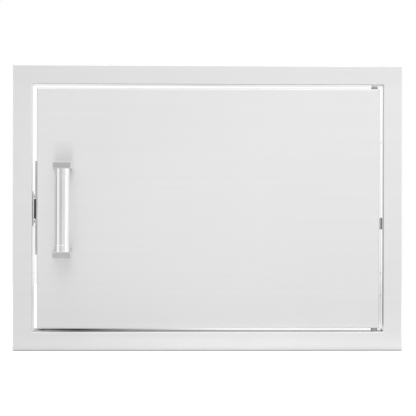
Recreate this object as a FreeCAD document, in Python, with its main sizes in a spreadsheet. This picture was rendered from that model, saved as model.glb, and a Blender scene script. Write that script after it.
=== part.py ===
import FreeCAD, Part
import math
import os
import Sketcher

# Access door for an outdoor kitchen island: a folded stainless frame that lines the wall's cut-out,
# and a flush double-skinned door that swings on two hidden pins.
# X runs to the right, Y into the island and Z up. The origin lies on the wall's face, in the middle
# of the seat that the frame's bottom rail makes there.

DIMENSIONS = [
    ("overall_width", "666.75", "frame, outer edge to outer edge"),
    ("overall_height", "488.95", "frame, outer edge to outer edge"),
    ("face_width", "33", "frame face, outer edge to opening"),
    ("frame_raise", "9", "frame face in front of the wall"),
    ("frame_sheet", "1.2", "thickness of the frame's sheet"),
    ("bend_radius", "0.7", "inside radius of every fold"),
    ("hem_width", "8", "seat turned in against the wall"),
    ("jamb_depth", "57", "frame face to the back of the jamb"),
    ("rear_hem", "10", "safe edge folded back outside the jamb"),
    ("rear_hem_gap", "0.4", "between the safe edge and the jamb"),
    ("fixing_spread", "226", "between the two fixing holes of a stile"),
    ("fixing_depth", "16", "fixing holes behind the wall's face"),
    ("fixing_radius", "2.6", "fixing hole"),
    ("gap_latch", "8", "door edge to jamb on the handle side"),
    ("gap_hinge", "6.5", "door edge to jamb on the hinge side"),
    ("gap_top", "7", "door edge to top jamb"),
    ("gap_bottom", "6", "door edge to bottom jamb"),
    ("door_depth", "20", "thickness of the whole door"),
    ("door_sheet", "1.2", "outer skin"),
    ("liner_sheet", "1", "inner skin"),
    ("liner_flange", "6.5", "depth of the inner skin's folded edge"),
    ("liner_clearance", "0.1", "inner skin inside the outer skin"),
    ("stiffener_crown", "36", "flat top of a hat channel"),
    ("stiffener_foot", "14", "each foot of a hat channel"),
    ("stiffener_sheet", "1", "hat channel"),
    ("stiffener_spread", "300", "between the two hat channels"),
    ("pivot_inset", "7.5", "hinge axis from the door's hinge edge"),
    ("pivot_depth", "8", "hinge axis behind the door's face"),
    ("pin_radius", "3", "both hinge pins"),
    ("running_clearance", "0.05", "radial play round a hinge pin"),
    ("hole_clearance", "0.4", "radial play where a pin only passes"),
    ("seat_clearance", "0.1", "between faces that pass each other"),
    ("plate_length", "40", "doubler under or over a hinge pin"),
    ("plate_depth", "15", "doubler, front to back"),
    ("plate_thickness", "2.5", "doubler"),
    ("plate_offset", "5", "doubler's middle from the hinge axis"),
    ("washer_radius", "5.5", "nylon spacers round the pins"),
    ("upper_washer_height", "4", "spacer on top of the door"),
    ("bush_radius", "4.5", "nylon bush in the top jamb"),
    ("bush_flange", "1.2", "its flange below the jamb"),
    ("pin_head_radius", "4.5", "riveted foot of the lower pin"),
    ("pin_head_height", "1.5", "riveted foot of the lower pin"),
    ("pin_chamfer", "1", "bevel on the hinge pins' ends"),
    ("lower_pin_reach", "16", "lower pin inside the door"),
    ("block_height", "20", "lower hinge block"),
    ("block_width", "22", "lower hinge block"),
    ("block_depth", "12", "hinge block and bracket, front to back"),
    ("upper_pin_reach", "11", "upper pin above the door"),
    ("lug_thickness", "4", "ears of the upper bracket"),
    ("bracket_width", "14", "upper bracket"),
    ("bracket_sheet", "2", "back of the upper bracket"),
    ("spring_length", "24", "spring between collar and lower ear"),
    ("spring_radius", "3.85", "middle of the wire"),
    ("spring_wire", "0.9", "wire diameter"),
    ("spring_turns", "7", "coils"),
    ("collar_height", "2", "collar on the upper pin"),
    ("collar_radius", "4.5", "collar on the upper pin"),
    ("pin_travel", "8", "upper pin, pulled down"),
    ("pin_bend", "6", "bend in the upper pin's tail"),
    ("tail_drop", "9", "tail below the lower ear"),
    ("tail_reach", "9", "tail behind the door"),
    ("tail_clearance", "1", "between the tail and the window's edge"),
    ("window_width", "20", "access window in the inner skin"),
    ("window_margin", "9", "window's top below the door's top"),
    ("window_corner", "4", "window corners"),
    ("handle_length", "161", "end to end"),
    ("handle_inset", "45", "handle's axis from the door's free edge"),
    ("handle_drop", "2", "handle and catch below the door's middle"),
    ("handle_standoff", "45", "door face to the bar's axis"),
    ("bar_radius", "12.3", "polished bar"),
    ("bar_wall", "1.5", "polished bar"),
    ("post_width", "30.5", "slab at each end"),
    ("post_thickness", "11", "slab at each end"),
    ("post_nose", "1", "slab in front of the bar"),
    ("neck_length", "9", "tapered neck behind the bar's end"),
    ("neck_depth", "15", "neck behind the bar's axis"),
    ("neck_flare", "1.8", "neck's side drawn in a third of the way down"),
    ("foot_height", "3.6", "gusset where a post meets the door"),
    ("foot_length", "5.4", "gusset where a post meets the door"),
    ("post_round", "0.8", "rounding on the slab's edges"),
    ("ferrule_length", "11", "sleeve on the bar's end"),
    ("ferrule_wall", "0.4", "sleeve on the bar's end"),
    ("bead_height", "1.6", "rolled edge of the sleeve"),
    ("bead_proud", "0.5", "rolled edge of the sleeve"),
    ("handle_screw_radius", "3", "screw through the door's skin"),
    ("screw_head_radius", "5.5", "its head"),
    ("screw_head_height", "3.6", "its head"),
    ("screw_grip", "16", "screw inside the post"),
    ("thread_spare", "1", "tapped hole past the screw's end"),
    ("backing_width", "34", "plate behind the skin"),
    ("backing_margin", "3.5", "plate behind the skin, past the handle's ends"),
    ("backing_sheet", "2.5", "plate behind the skin"),
    ("strike_length", "161", "steel plate that the magnet holds"),
    ("strike_width", "22", "steel plate that the magnet holds"),
    ("strike_sheet", "1.5", "steel plate that the magnet holds"),
    ("strike_proud", "4.5", "plate past the door's free edge"),
    ("strike_recess", "1.5", "cut back beside the catch, so that the plate clears its edge"),
    ("strike_rivet_spread", "60", "between its rivets"),
    ("rivet_radius", "1.6", "blind rivets"),
    ("rivet_head_radius", "3.2", "blind rivets"),
    ("rivet_head_height", "1", "blind rivets"),
    ("rivet_tail", "1.2", "blind rivets"),
    ("rivet_tail_radius", "2.2", "blind rivets"),
    ("bracket_length", "60", "angle that carries the catch"),
    ("bracket_leg", "20", "angle, across the gap"),
    ("bracket_gauge", "1.5", "angle"),
    ("bracket_bend", "0.5", "angle, inside its fold"),
    ("bracket_slot", "1.6", "slots that part the angle's legs above and below the housing"),
    ("bracket_front", "15", "angle, from the wall's face"),
    ("bracket_rivet_spread", "44", "between the angle's rivets"),
    ("magnet_length", "26", "magnet"),
    ("magnet_width", "5", "magnet"),
    ("magnet_depth", "10", "magnet"),
    ("pole_sheet", "1.5", "steel plate each side of the magnet"),
    ("pole_proud", "1", "pole plates in front of the housing"),
    ("housing_length", "34", "catch housing"),
    ("housing_width", "14", "catch housing"),
    ("housing_depth", "14", "catch housing"),
    ("housing_inset", "0.5", "housing off the angle's side leg"),
    ("ear_length", "9", "screw ear at each end"),
    ("ear_width", "10", "screw ear at each end"),
    ("ear_thickness", "3", "screw ear at each end"),
    ("catch_screw_radius", "1.5", "screw through each ear"),
    ("catch_head_radius", "2.9", "its head"),
    ("catch_head_height", "1.9", "its head"),
    ("nut_radius", "3.1", "hexagon nut, across corners, halved"),
    ("nut_height", "2.4", "hexagon nut"),
    ("screw_end", "1", "screw past its nut"),
    ("plug_length", "20", "blanking plug, top to bottom"),
    ("plug_width", "16", "blanking plug, front to back"),
    ("plug_flange", "1.6", "flange on the jamb"),
    ("plug_border", "2", "flange round the plug's body"),
    ("plug_front", "10", "plug's front edge behind the wall's face"),
    ("plug_drop", "27", "plug's middle below the door's middle"),
    ("spare_drop", "152", "spare hole below the door's middle"),
    ("spare_radius", "2.5", "spare hole"),
]

# How far a cut runs past what it cuts, how much of a head's height is bevelled, and the sides of a wire.
OVERSHOOT = 1
BEVELLED = 0.6
WIRE_SIDES = 8

document = FreeCAD.newDocument("AccessDoor")
sheet = document.addObject("Spreadsheet::Sheet", "Sizes")
for row, (alias, text, note) in enumerate(DIMENSIONS, start=1):
    sheet.set(f"A{row}", alias)
    sheet.set(f"B{row}", text)
    sheet.set(f"C{row}", note)
    sheet.setAlias(f"B{row}", alias)
document.recompute()


class Size:
    """A length with its present value and the sheet formula that it comes from."""

    def __init__(self, value, formula):
        self.value = value
        self.formula = formula

    def __add__(self, other):
        other = as_size(other)
        return Size(self.value + other.value, f"({self.formula} + {other.formula})")

    def __radd__(self, other):
        return as_size(other) + self

    def __neg__(self):
        return Size(-self.value, f"(-1 * {self.formula})")

    def __sub__(self, other):
        return self + -as_size(other)

    def __rsub__(self, other):
        return as_size(other) + -self

    def __mul__(self, factor):
        return Size(self.value * factor, f"({self.formula} * {factor})")

    def __rmul__(self, factor):
        return self * factor

    def __truediv__(self, divisor):
        return Size(self.value / divisor, f"({self.formula} / {divisor})")


def as_size(number):
    """Turn a plain number into a Size."""
    if isinstance(number, Size):
        return number
    return Size(float(number), f"({float(number)})")


def size(alias):
    """Read one driving dimension from the sheet."""
    return Size(float(sheet.get(alias)), f"Sizes.{alias}")


def bind(item, target, length):
    """Bind a property or a sketch constraint to the sheet."""
    item.setExpression(target, as_size(length).formula)


# Shared places

sheet_out = size("bend_radius") + size("frame_sheet")
front = -size("frame_raise")
jamb_back = size("jamb_depth") - size("frame_raise")
centre_z = size("overall_height") / 2 - size("hem_width") / 2
half_opening_x = size("overall_width") / 2 - size("face_width")
half_opening_z = size("overall_height") / 2 - size("face_width")
door_left = -half_opening_x + size("gap_latch")
door_right = half_opening_x - size("gap_hinge")
door_bottom = centre_z - half_opening_z + size("gap_bottom")
door_top = centre_z + half_opening_z - size("gap_top")
door_width = door_right - door_left
door_height = door_top - door_bottom
door_x = (door_left + door_right) / 2
door_z = (door_bottom + door_top) / 2
door_back = front + size("door_depth")
skin_back = front + size("door_sheet")
liner_front = door_back - size("liner_sheet")
jamb_top = centre_z + half_opening_z
jamb_bottom = centre_z - half_opening_z
pivot_x = door_right - size("pivot_inset")
pivot_y = front + size("pivot_depth")
bore_radius = size("pin_radius") + size("running_clearance")
passing_radius = size("pin_radius") + size("hole_clearance")
handle_x = door_left + size("handle_inset")
handle_z = door_z - size("handle_drop")
half_bar = size("handle_length") / 2 - size("post_thickness")
screw_z = size("handle_length") / 2 - size("post_thickness") / 2

pieces = []


# Drawing helpers

def new_body(label):
    """Start one sub-part, named as its file will be."""
    body = document.addObject("PartDesign::Body", label)
    body.Label = label
    pieces.append(body)
    return body


def place(item, x=0, y=0, z=0, turn=0):
    """Put a sub-part where it belongs, turned about its own Y axis."""
    item.Placement = FreeCAD.Placement(FreeCAD.Vector(), FreeCAD.Rotation(FreeCAD.Vector(0, 1, 0), turn))
    for letter, length in zip("xyz", (x, y, z)):
        bind(item, f".Placement.Base.{letter}", length)


def new_sketch(body, role, offset=0):
    """Start a sketch on one of the body's own planes, or parallel to it."""
    sketch = body.newObject("Sketcher::SketchObject", "Sketch")
    plane = next(item for item in body.Origin.OriginFeatures if item.Role == role)
    sketch.AttachmentSupport = [(plane, "")]
    sketch.MapMode = "FlatFace"
    bind(sketch, ".AttachmentOffset.Base.z", offset)
    return sketch


def constrain(sketch, kind, geometry, length):
    """Add a dimension to a sketch and bind it."""
    length = as_size(length)
    index = sketch.addConstraint(Sketcher.Constraint(kind, *geometry, length.value))
    bind(sketch, f"Constraints[{index}]", length)


def pin_point(sketch, item, point, x, y):
    """Fix a point of the sketch by its distances from the sketch's origin."""
    constrain(sketch, "DistanceX", (-1, 1, item, point), x)
    constrain(sketch, "DistanceY", (-1, 1, item, point), y)


def circle(sketch, x, y, radius):
    """Draw a circle."""
    x, y, radius = as_size(x), as_size(y), as_size(radius)
    centre = FreeCAD.Vector(x.value, y.value, 0)
    item = sketch.addGeometry(Part.Circle(centre, FreeCAD.Vector(0, 0, 1), radius.value), False)
    constrain(sketch, "Radius", (item,), radius)
    pin_point(sketch, item, 3, x, y)


def outline(sketch, corners):
    """Draw a closed outline. A corner with a third value is rounded, between lines along the axes."""
    places = [(as_size(corner[0]), as_size(corner[1])) for corner in corners]
    radii = [as_size(corner[2]) if len(corner) == 3 else None for corner in corners]
    points = [FreeCAD.Vector(x.value, y.value, 0) for x, y in places]
    count = len(points)
    runs = [(points[(i + 1) % count] - points[i]).normalize() for i in range(count)]
    lines = []
    for i in range(count):
        after = (i + 1) % count
        start = points[i] + runs[i] * (radii[i].value if radii[i] else 0)
        end = points[after] - runs[i] * (radii[after].value if radii[after] else 0)
        lines.append(sketch.addGeometry(Part.LineSegment(start, end), False))
    for i in range(count):
        line, before = lines[i], lines[i - 1]
        if radii[i]:
            round_corner(sketch, before, line, points[i], runs[i - 1], runs[i], radii[i])
        else:
            sketch.addConstraint(Sketcher.Constraint("Coincident", before, 2, line, 1))
            pin_point(sketch, line, 1, *places[i])
        after = (i + 1) % count
        level = abs(runs[i].y) < abs(runs[i].x)
        if radii[i] or radii[after]:
            sketch.addConstraint(Sketcher.Constraint("Horizontal" if level else "Vertical", line))
        if radii[i] and radii[after]:
            kind = "DistanceY" if level else "DistanceX"
            constrain(sketch, kind, (-1, 1, line, 1), places[i][1] if level else places[i][0])


def round_corner(sketch, before, line, corner, arriving, leaving, radius):
    """Join two square lines by a tangent arc."""
    centre = corner - arriving * radius.value + leaving * radius.value
    turns_left = arriving.cross(leaving).z > 0
    first = -leaving if turns_left else arriving
    angle = math.atan2(first.y, first.x)
    whole = Part.Circle(centre, FreeCAD.Vector(0, 0, 1), radius.value)
    arc = sketch.addGeometry(Part.ArcOfCircle(whole, angle, angle + math.pi / 2), False)
    near, far = (1, 2) if turns_left else (2, 1)
    sketch.addConstraint(Sketcher.Constraint("Tangent", before, 2, arc, near))
    sketch.addConstraint(Sketcher.Constraint("Tangent", arc, far, line, 1))
    constrain(sketch, "Radius", (arc,), radius)


def rectangle(sketch, x, y, width, height, radius=None):
    """Draw a rectangle round its middle, with square or rounded corners."""
    left, right = x - width / 2, x + width / 2
    low, high = y - height / 2, y + height / 2
    corners = [(left, low), (right, low), (right, high), (left, high)]
    if radius:
        corners = [corner + (radius,) for corner in corners]
    outline(sketch, corners)


def pad(body, sketch, length, symmetric=False, backwards=False):
    """Extrude a sketch into solid."""
    feature = body.newObject("PartDesign::Pad", "Pad")
    feature.Profile = sketch
    bind(feature, "Length", length)
    if symmetric:
        feature.SideType = "Symmetric"
    feature.Reversed = backwards
    sketch.Visibility = False
    document.recompute()
    return feature


def must_cut(body, feature, before):
    """Stop if a cut took nothing away."""
    document.recompute()
    if feature.Shape.isNull() or feature.Shape.Volume > before - 1e-6:
        raise ValueError(f"{body.Label}: {feature.Label} cut nothing")


def pocket(body, sketch, depth=None, symmetric=False, backwards=False):
    """Cut a sketch out of the solid, right through if no depth is given."""
    before = body.Shape.Volume
    feature = body.newObject("PartDesign::Pocket", "Pocket")
    feature.Profile = sketch
    if depth is None:
        feature.Type = "ThroughAll"
    else:
        bind(feature, "Length", depth)
    if symmetric:
        feature.SideType = "Symmetric"
    feature.Reversed = backwards
    must_cut(body, feature, before)
    return feature


def revolve(body, sketch, axis="V_Axis"):
    """Turn a sketch round one of its own axes."""
    feature = body.newObject("PartDesign::Revolution", "Revolution")
    feature.Profile = sketch
    feature.ReferenceAxis = (sketch, [axis])
    feature.Angle = 360
    document.recompute()
    return feature


def dress(body, kind, target, length, chosen):
    """Round or bevel the edges that a test picks by their box."""
    base = body.Tip
    names = [f"Edge{i}" for i, edge in enumerate(base.Shape.Edges, start=1) if chosen(edge.BoundBox)]
    if not names:
        raise ValueError(f"{body.Label}: no edge to dress")
    feature = body.newObject(f"PartDesign::{kind}", kind)
    feature.Base = (base, names)
    bind(feature, target, length)
    document.recompute()
    return feature


def fillet(body, radius, chosen):
    """Round the chosen edges."""
    return dress(body, "Fillet", "Radius", radius, chosen)


def chamfer(body, length, chosen):
    """Bevel the chosen edges."""
    return dress(body, "Chamfer", "Size", length, chosen)


def mirror(body, originals, role):
    """Repeat features on the other side of an origin plane."""
    feature = body.newObject("PartDesign::Mirrored", "Mirrored")
    feature.Originals = originals
    plane = next(item for item in body.Origin.OriginFeatures if item.Role == role)
    feature.MirrorPlane = (plane, [""])
    body.Tip = feature
    document.recompute()
    return feature


def near(value, target):
    """Say whether an edge's coordinate is where a size puts it."""
    return abs(value - as_size(target).value) < 0.01


# Frame

def frame_rail(label, length, x, z, turn):
    """Fold one rail with its outer edge along X, and mitre both ends."""
    body = new_body(label)
    width, thickness = size("face_width"), size("frame_sheet")
    inside = size("bend_radius")
    hem_outside = width - thickness * 2 - size("rear_hem_gap")
    sketch = new_sketch(body, "YZ_Plane")
    outline(sketch, [
        (0, size("hem_width")),
        (0, 0, sheet_out),
        (front, 0, sheet_out),
        (front, width, sheet_out),
        (jamb_back, width, thickness),
        (jamb_back, hem_outside, thickness),
        (jamb_back - size("rear_hem"), hem_outside),
        (jamb_back - size("rear_hem"), hem_outside + thickness),
        (jamb_back - thickness, hem_outside + thickness),
        (jamb_back - thickness, width - thickness),
        (front + thickness, width - thickness, inside),
        (front + thickness, thickness, inside),
        (-thickness, thickness, inside),
        (-thickness, size("hem_width")),
    ])
    pad(body, sketch, length, symmetric=True)
    reach = width + OVERSHOOT
    mitre = new_sketch(body, "XZ_Plane")
    for side in (-1, 1):
        outline(mitre, [
            (side * (length / 2 + OVERSHOOT), -OVERSHOOT),
            (side * (length / 2 - reach), reach),
            (side * (length / 2 + OVERSHOOT), reach),
        ])
    pocket(body, mitre, symmetric=True)
    place(body, x, 0, z, turn)
    return body


def jamb_holes(body, draw):
    """Cut holes through a rail's jamb only."""
    sketch = new_sketch(body, "XY_Plane", size("face_width") + size("frame_sheet"))
    draw(sketch)
    pocket(body, sketch, size("frame_sheet") * 3)


rail_z = size("hem_width") / 2
bottom_rail = frame_rail("frame_bottom_rail", size("overall_width"), 0, -rail_z, 0)
top_rail = frame_rail("frame_top_rail", size("overall_width"), 0, size("overall_height") - rail_z, 180)
latch_stile = frame_rail("frame_latch_stile", size("overall_height"), -size("overall_width") / 2, centre_z, 90)
hinge_stile = frame_rail("frame_hinge_stile", size("overall_height"), size("overall_width") / 2, centre_z, -90)

jamb_holes(bottom_rail, lambda sketch: circle(sketch, pivot_x, pivot_y, size("pin_radius")))
jamb_holes(top_rail, lambda sketch: circle(sketch, -pivot_x, pivot_y, size("bush_radius")))


def latch_holes(sketch):
    """Fixing holes and rivet holes of the stile that carries the catch."""
    for side in (-1, 1):
        circle(sketch, side * size("fixing_spread") / 2, size("fixing_depth"), size("fixing_radius"))
        rivet_x = centre_z - handle_z + side * size("bracket_rivet_spread") / 2
        circle(sketch, rivet_x, bracket_rivet_y, size("rivet_radius"))


def hinge_holes(sketch):
    """Fixing holes, plug opening and spare hole of the hinge stile."""
    for side in (-1, 1):
        circle(sketch, side * size("fixing_spread") / 2, size("fixing_depth"), size("fixing_radius"))
    rectangle(sketch, -size("plug_drop"), plug_y, size("plug_length") - size("plug_border") * 2,
              size("plug_width") - size("plug_border") * 2, size("bend_radius"))
    circle(sketch, -size("spare_drop"), plug_y, size("spare_radius"))


bracket_rivet_y = size("bracket_front") + size("bracket_gauge") + size("rivet_head_radius")
plug_y = size("plug_front") + size("plug_width") / 2
jamb_holes(latch_stile, latch_holes)
jamb_holes(hinge_stile, hinge_holes)


# Door shell

def front_and_back_edges(body_width, body_height, depth):
    """Pick the four long edges of a rectangular block at one depth."""
    def chosen(box):
        flat = near(box.YMin, depth) and near(box.YMax, depth)
        along_x = near(box.XLength, body_width) and near(box.ZLength, 0)
        along_z = near(box.ZLength, body_height) and near(box.XLength, 0)
        return flat and (along_x or along_z)
    return chosen


def door_outer_skin():
    """Fold the outer skin: the face and four edges, with holes for pins and handle screws."""
    body = new_body("door_outer_skin")
    thickness, depth = size("door_sheet"), size("door_depth")
    block = new_sketch(body, "XZ_Plane")
    rectangle(block, 0, 0, door_width, door_height)
    pad(body, block, depth, backwards=True)
    fillet(body, size("bend_radius") + thickness, front_and_back_edges(door_width, door_height, 0))
    hollow = new_sketch(body, "XZ_Plane", -depth)
    inner_width, inner_height = door_width - thickness * 2, door_height - thickness * 2
    rectangle(hollow, 0, 0, inner_width, inner_height)
    pocket(body, hollow, depth - thickness, backwards=True)
    fillet(body, size("bend_radius"), front_and_back_edges(inner_width, inner_height, thickness))
    pins = new_sketch(body, "XY_Plane")
    circle(pins, pivot_x - door_x, size("pivot_depth"), passing_radius)
    pocket(body, pins, symmetric=True)
    screws = new_sketch(body, "XZ_Plane")
    for side in (-1, 1):
        circle(screws, handle_x - door_x, handle_z - door_z + side * screw_z,
               size("handle_screw_radius") + size("hole_clearance"))
    pocket(body, screws, depth / 2)
    place(body, door_x, front, door_z)


def door_inner_liner():
    """Fold the inner skin: a shallow pan whose edges point forwards, with the access window."""
    body = new_body("door_inner_liner")
    thickness, depth = size("liner_sheet"), size("door_depth")
    flange_front = depth - size("liner_flange")
    edge = size("door_sheet") + size("liner_clearance")
    width, height = door_width - edge * 2, door_height - edge * 2
    block = new_sketch(body, "XZ_Plane", -flange_front)
    rectangle(block, 0, 0, width, height)
    pad(body, block, size("liner_flange"), backwards=True)
    fillet(body, size("bend_radius") + thickness, front_and_back_edges(width, height, depth))
    inner_width, inner_height = width - thickness * 2, height - thickness * 2
    hollow = new_sketch(body, "XZ_Plane", -flange_front)
    rectangle(hollow, 0, 0, inner_width, inner_height)
    pocket(body, hollow, size("liner_flange") - thickness)
    fillet(body, size("bend_radius"), front_and_back_edges(inner_width, inner_height, depth - thickness))
    openings = new_sketch(body, "XZ_Plane")
    rectangle(openings, window_x - door_x, window_z - door_z, size("window_width"), window_height,
              size("window_corner"))
    for step in (-1, 0, 1):
        circle(openings, strike_rivet_x - door_x, step * size("strike_rivet_spread"), size("rivet_radius"))
    pocket(body, openings)
    place(body, door_x, front, door_z)


def door_stiffener(label, x):
    """Fold one hat channel that ties the two skins together."""
    body = new_body(label)
    thickness = size("stiffener_sheet")
    crown, foot = size("stiffener_crown") / 2, size("stiffener_foot")
    profile = new_sketch(body, "XY_Plane")
    outline(profile, [
        (-crown - foot, skin_back),
        (-crown, skin_back),
        (-crown, liner_front - thickness),
        (crown, liner_front - thickness),
        (crown, skin_back),
        (crown + foot, skin_back),
        (crown + foot, skin_back + thickness),
        (crown + thickness, skin_back + thickness),
        (crown + thickness, liner_front),
        (-crown - thickness, liner_front),
        (-crown - thickness, skin_back + thickness),
        (-crown - foot, skin_back + thickness),
    ])
    edges = size("door_sheet") + size("liner_clearance") + size("liner_sheet") + size("bend_radius")
    pad(body, profile, door_height - edges * 2, symmetric=True)
    place(body, x, 0, door_z)


lug_top = door_top - size("door_sheet")
collar_top = lug_top - size("lug_thickness")
spring_top = collar_top - size("collar_height")
lower_lug_top = spring_top - size("spring_length")
bracket_bottom = lower_lug_top - size("lug_thickness")
tail_z = bracket_bottom - size("tail_drop")
window_top = door_top - size("window_margin")
window_bottom = tail_z - size("pin_travel") - size("pin_radius") - size("tail_clearance") * 2
window_height = window_top - window_bottom
window_z = (window_top + window_bottom) / 2
window_x = pivot_x - size("window_width") / 2 + size("pin_radius") + size("tail_clearance")
strike_left = door_left - size("strike_proud")
strike_rivet_x = strike_left + size("strike_width") - size("rivet_head_radius") * 2

door_outer_skin()
door_inner_liner()
for name, side in (("door_stiffener_left", -1), ("door_stiffener_right", 1)):
    door_stiffener(name, door_x + side * size("stiffener_spread") / 2)


# Hinge doublers and the fixed lower pin

def hinge_plate(label, z, turn):
    """Cut one doubler that carries a pin behind a jamb. Its jamb side lies at local zero, facing up."""
    body = new_body(label)
    sketch = new_sketch(body, "XY_Plane")
    middle = front + sheet_out + size("plate_depth") / 2
    hand = 1 if turn else -1
    rectangle(sketch, hand * size("plate_offset"), middle, size("plate_length"), size("plate_depth"),
              size("bend_radius"))
    pad(body, sketch, size("plate_thickness"), backwards=True)
    hole = new_sketch(body, "XY_Plane")
    circle(hole, 0, pivot_y, size("bush_radius") if turn else size("pin_radius"))
    pocket(body, hole)
    if not turn:
        recess = new_sketch(body, "XY_Plane", -size("plate_thickness"))
        circle(recess, 0, pivot_y, size("pin_head_radius"))
        pocket(body, recess, size("pin_head_height"), backwards=True)
    place(body, pivot_x, 0, z, turn)


def turned_piece(label, corners, z):
    """Turn a part on the hinge axis from half of its section."""
    body = new_body(label)
    section = new_sketch(body, "XZ_Plane")
    outline(section, corners)
    revolve(body, section)
    place(body, pivot_x, pivot_y, z)
    return body


def lower_hinge_pin():
    """Turn the fixed pin with its riveted foot."""
    foot = size("plate_thickness")
    top = size("frame_sheet") + size("gap_bottom") + size("lower_pin_reach")
    turned_piece("lower_hinge_pin", [
        (0, -foot),
        (size("pin_head_radius"), -foot),
        (size("pin_head_radius"), -foot + size("pin_head_height")),
        (size("pin_radius"), -foot + size("pin_head_height")),
        (size("pin_radius"), top - size("pin_chamfer")),
        (size("pin_radius") - size("pin_chamfer"), top),
        (0, top),
    ], jamb_bottom - size("frame_sheet"))


def washer(label, height, z):
    """Turn one nylon spacer."""
    turned_piece(label, [
        (bore_radius, 0),
        (size("washer_radius"), 0),
        (size("washer_radius"), height),
        (bore_radius, height),
    ], z)


def lower_hinge_block():
    """Cut the block in the door's corner that turns on the fixed pin."""
    body = new_body("lower_hinge_block")
    right = size("pivot_inset") - size("door_sheet")
    sketch = new_sketch(body, "XY_Plane")
    middle = skin_back - pivot_y + size("block_depth") / 2
    rectangle(sketch, right - size("block_width") / 2, middle, size("block_width"), size("block_depth"))
    pad(body, sketch, size("block_height"))
    touching = skin_back - pivot_y
    fillet(body, size("bend_radius"), lambda box: near(box.YMax, touching) and near(box.ZMax, 0)
           or near(box.YMax, touching) and near(box.XMin, right))
    bore = new_sketch(body, "XY_Plane")
    circle(bore, 0, 0, bore_radius)
    pocket(body, bore, backwards=True)
    place(body, pivot_x, pivot_y, door_bottom + size("door_sheet"))


hinge_plate("lower_hinge_plate", jamb_bottom - size("frame_sheet"), 0)
hinge_plate("upper_hinge_plate", jamb_top + size("frame_sheet"), 180)
lower_hinge_pin()
washer("lower_hinge_washer", size("gap_bottom") - size("seat_clearance"), jamb_bottom)
lower_hinge_block()


# Sprung upper hinge

def upper_pin_bush():
    """Turn the flanged nylon bush pressed into the top jamb."""
    top = size("frame_sheet") + size("plate_thickness")
    turned_piece("upper_pin_bush", [
        (bore_radius, -size("bush_flange")),
        (size("washer_radius"), -size("bush_flange")),
        (size("washer_radius"), 0),
        (size("bush_radius"), 0),
        (size("bush_radius"), top),
        (bore_radius, top),
    ], jamb_top)


def upper_hinge_bracket():
    """Fold the bracket whose two ears guide the sprung pin."""
    body = new_body("upper_hinge_bracket")
    back = skin_back - pivot_y
    rear = back + size("block_depth")
    ear = size("lug_thickness")
    height = lug_top - bracket_bottom
    profile = new_sketch(body, "YZ_Plane")
    fold = size("bracket_sheet")
    outline(profile, [
        (back, 0, fold),
        (back, -height, fold),
        (rear, -height),
        (rear, ear - height),
        (back + fold, ear - height),
        (back + fold, -ear),
        (rear, -ear),
        (rear, 0),
    ])
    pad(body, profile, size("bracket_width"), symmetric=True)
    right = size("pivot_inset") - size("door_sheet") - size("bend_radius")
    middle = right - size("bracket_width") / 2
    bore = new_sketch(body, "XY_Plane")
    circle(bore, -middle, 0, bore_radius)
    pocket(body, bore)
    place(body, pivot_x + middle, pivot_y, lug_top)


def upper_hinge_pin():
    """Sweep the bent pin: straight up the hinge axis, with a tail that points out of the door."""
    body = new_body("upper_hinge_pin")
    top = door_top + size("upper_pin_reach") - tail_z
    tail = door_back + size("tail_reach") - pivot_y
    bend = size("pin_bend")
    route = new_sketch(body, "YZ_Plane")
    first = route.addGeometry(Part.LineSegment(FreeCAD.Vector(0, top.value, 0),
                                               FreeCAD.Vector(0, bend.value, 0)), False)
    second = route.addGeometry(Part.LineSegment(FreeCAD.Vector(bend.value, 0, 0),
                                                FreeCAD.Vector(tail.value, 0, 0)), False)
    pin_point(route, first, 1, 0, top)
    pin_point(route, second, 2, tail, 0)
    route.addConstraint(Sketcher.Constraint("Vertical", first))
    route.addConstraint(Sketcher.Constraint("Horizontal", second))
    round_corner(route, first, second, FreeCAD.Vector(), FreeCAD.Vector(0, -1, 0), FreeCAD.Vector(1, 0, 0), bend)
    section = new_sketch(body, "XY_Plane", top)
    circle(section, 0, 0, size("pin_radius"))
    sweep = body.newObject("PartDesign::AdditivePipe", "Pipe")
    sweep.Profile = section
    sweep.Spine = (route, [])
    document.recompute()
    chamfer(body, size("pin_chamfer"), lambda box: near(box.ZMin, top) or near(box.YMin, tail))
    place(body, pivot_x, pivot_y, tail_z)


def pin_collar():
    """Turn the collar that the spring lifts against the upper ear."""
    turned_piece("pin_collar", [
        (size("pin_radius"), 0),
        (size("collar_radius"), 0),
        (size("collar_radius"), size("collar_height")),
        (size("pin_radius"), size("collar_height")),
    ], spring_top)


def biarc(start, end, leaving, arriving):
    """Join two points by two arcs that keep the tangents at both ends."""
    across = end - start
    tangents = leaving + arriving
    along = across.dot(tangents)
    spread = 2 * (1 - leaving.dot(arriving))
    reach = (math.sqrt(along ** 2 + spread * across.dot(across)) - along) / spread
    knee, elbow = start + leaving * reach, end - arriving * reach
    middle = (knee + elbow) / 2
    arcs = []
    for first, bend, last in ((start, knee, middle), (middle, elbow, end)):
        chord = (first + last) / 2
        half, rise = (last - first).Length / 2, (bend - chord).Length
        sagitta = half * math.tan(math.atan2(rise, half) / 2)
        arcs.append(Part.Arc(first, chord + (bend - chord).normalize() * sagitta, last).toShape())
    return arcs


def least_gap(path, wire, turns):
    """Measure how near the wire comes to itself, between points at least half a turn apart."""
    per_turn = 24
    points = path.discretize(Number=turns * per_turn + 1)
    apart = per_turn // 2
    pairs = ((a, b) for i, a in enumerate(points) for b in points[i + apart:])
    return min((b - a).Length for a, b in pairs) - wire


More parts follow.
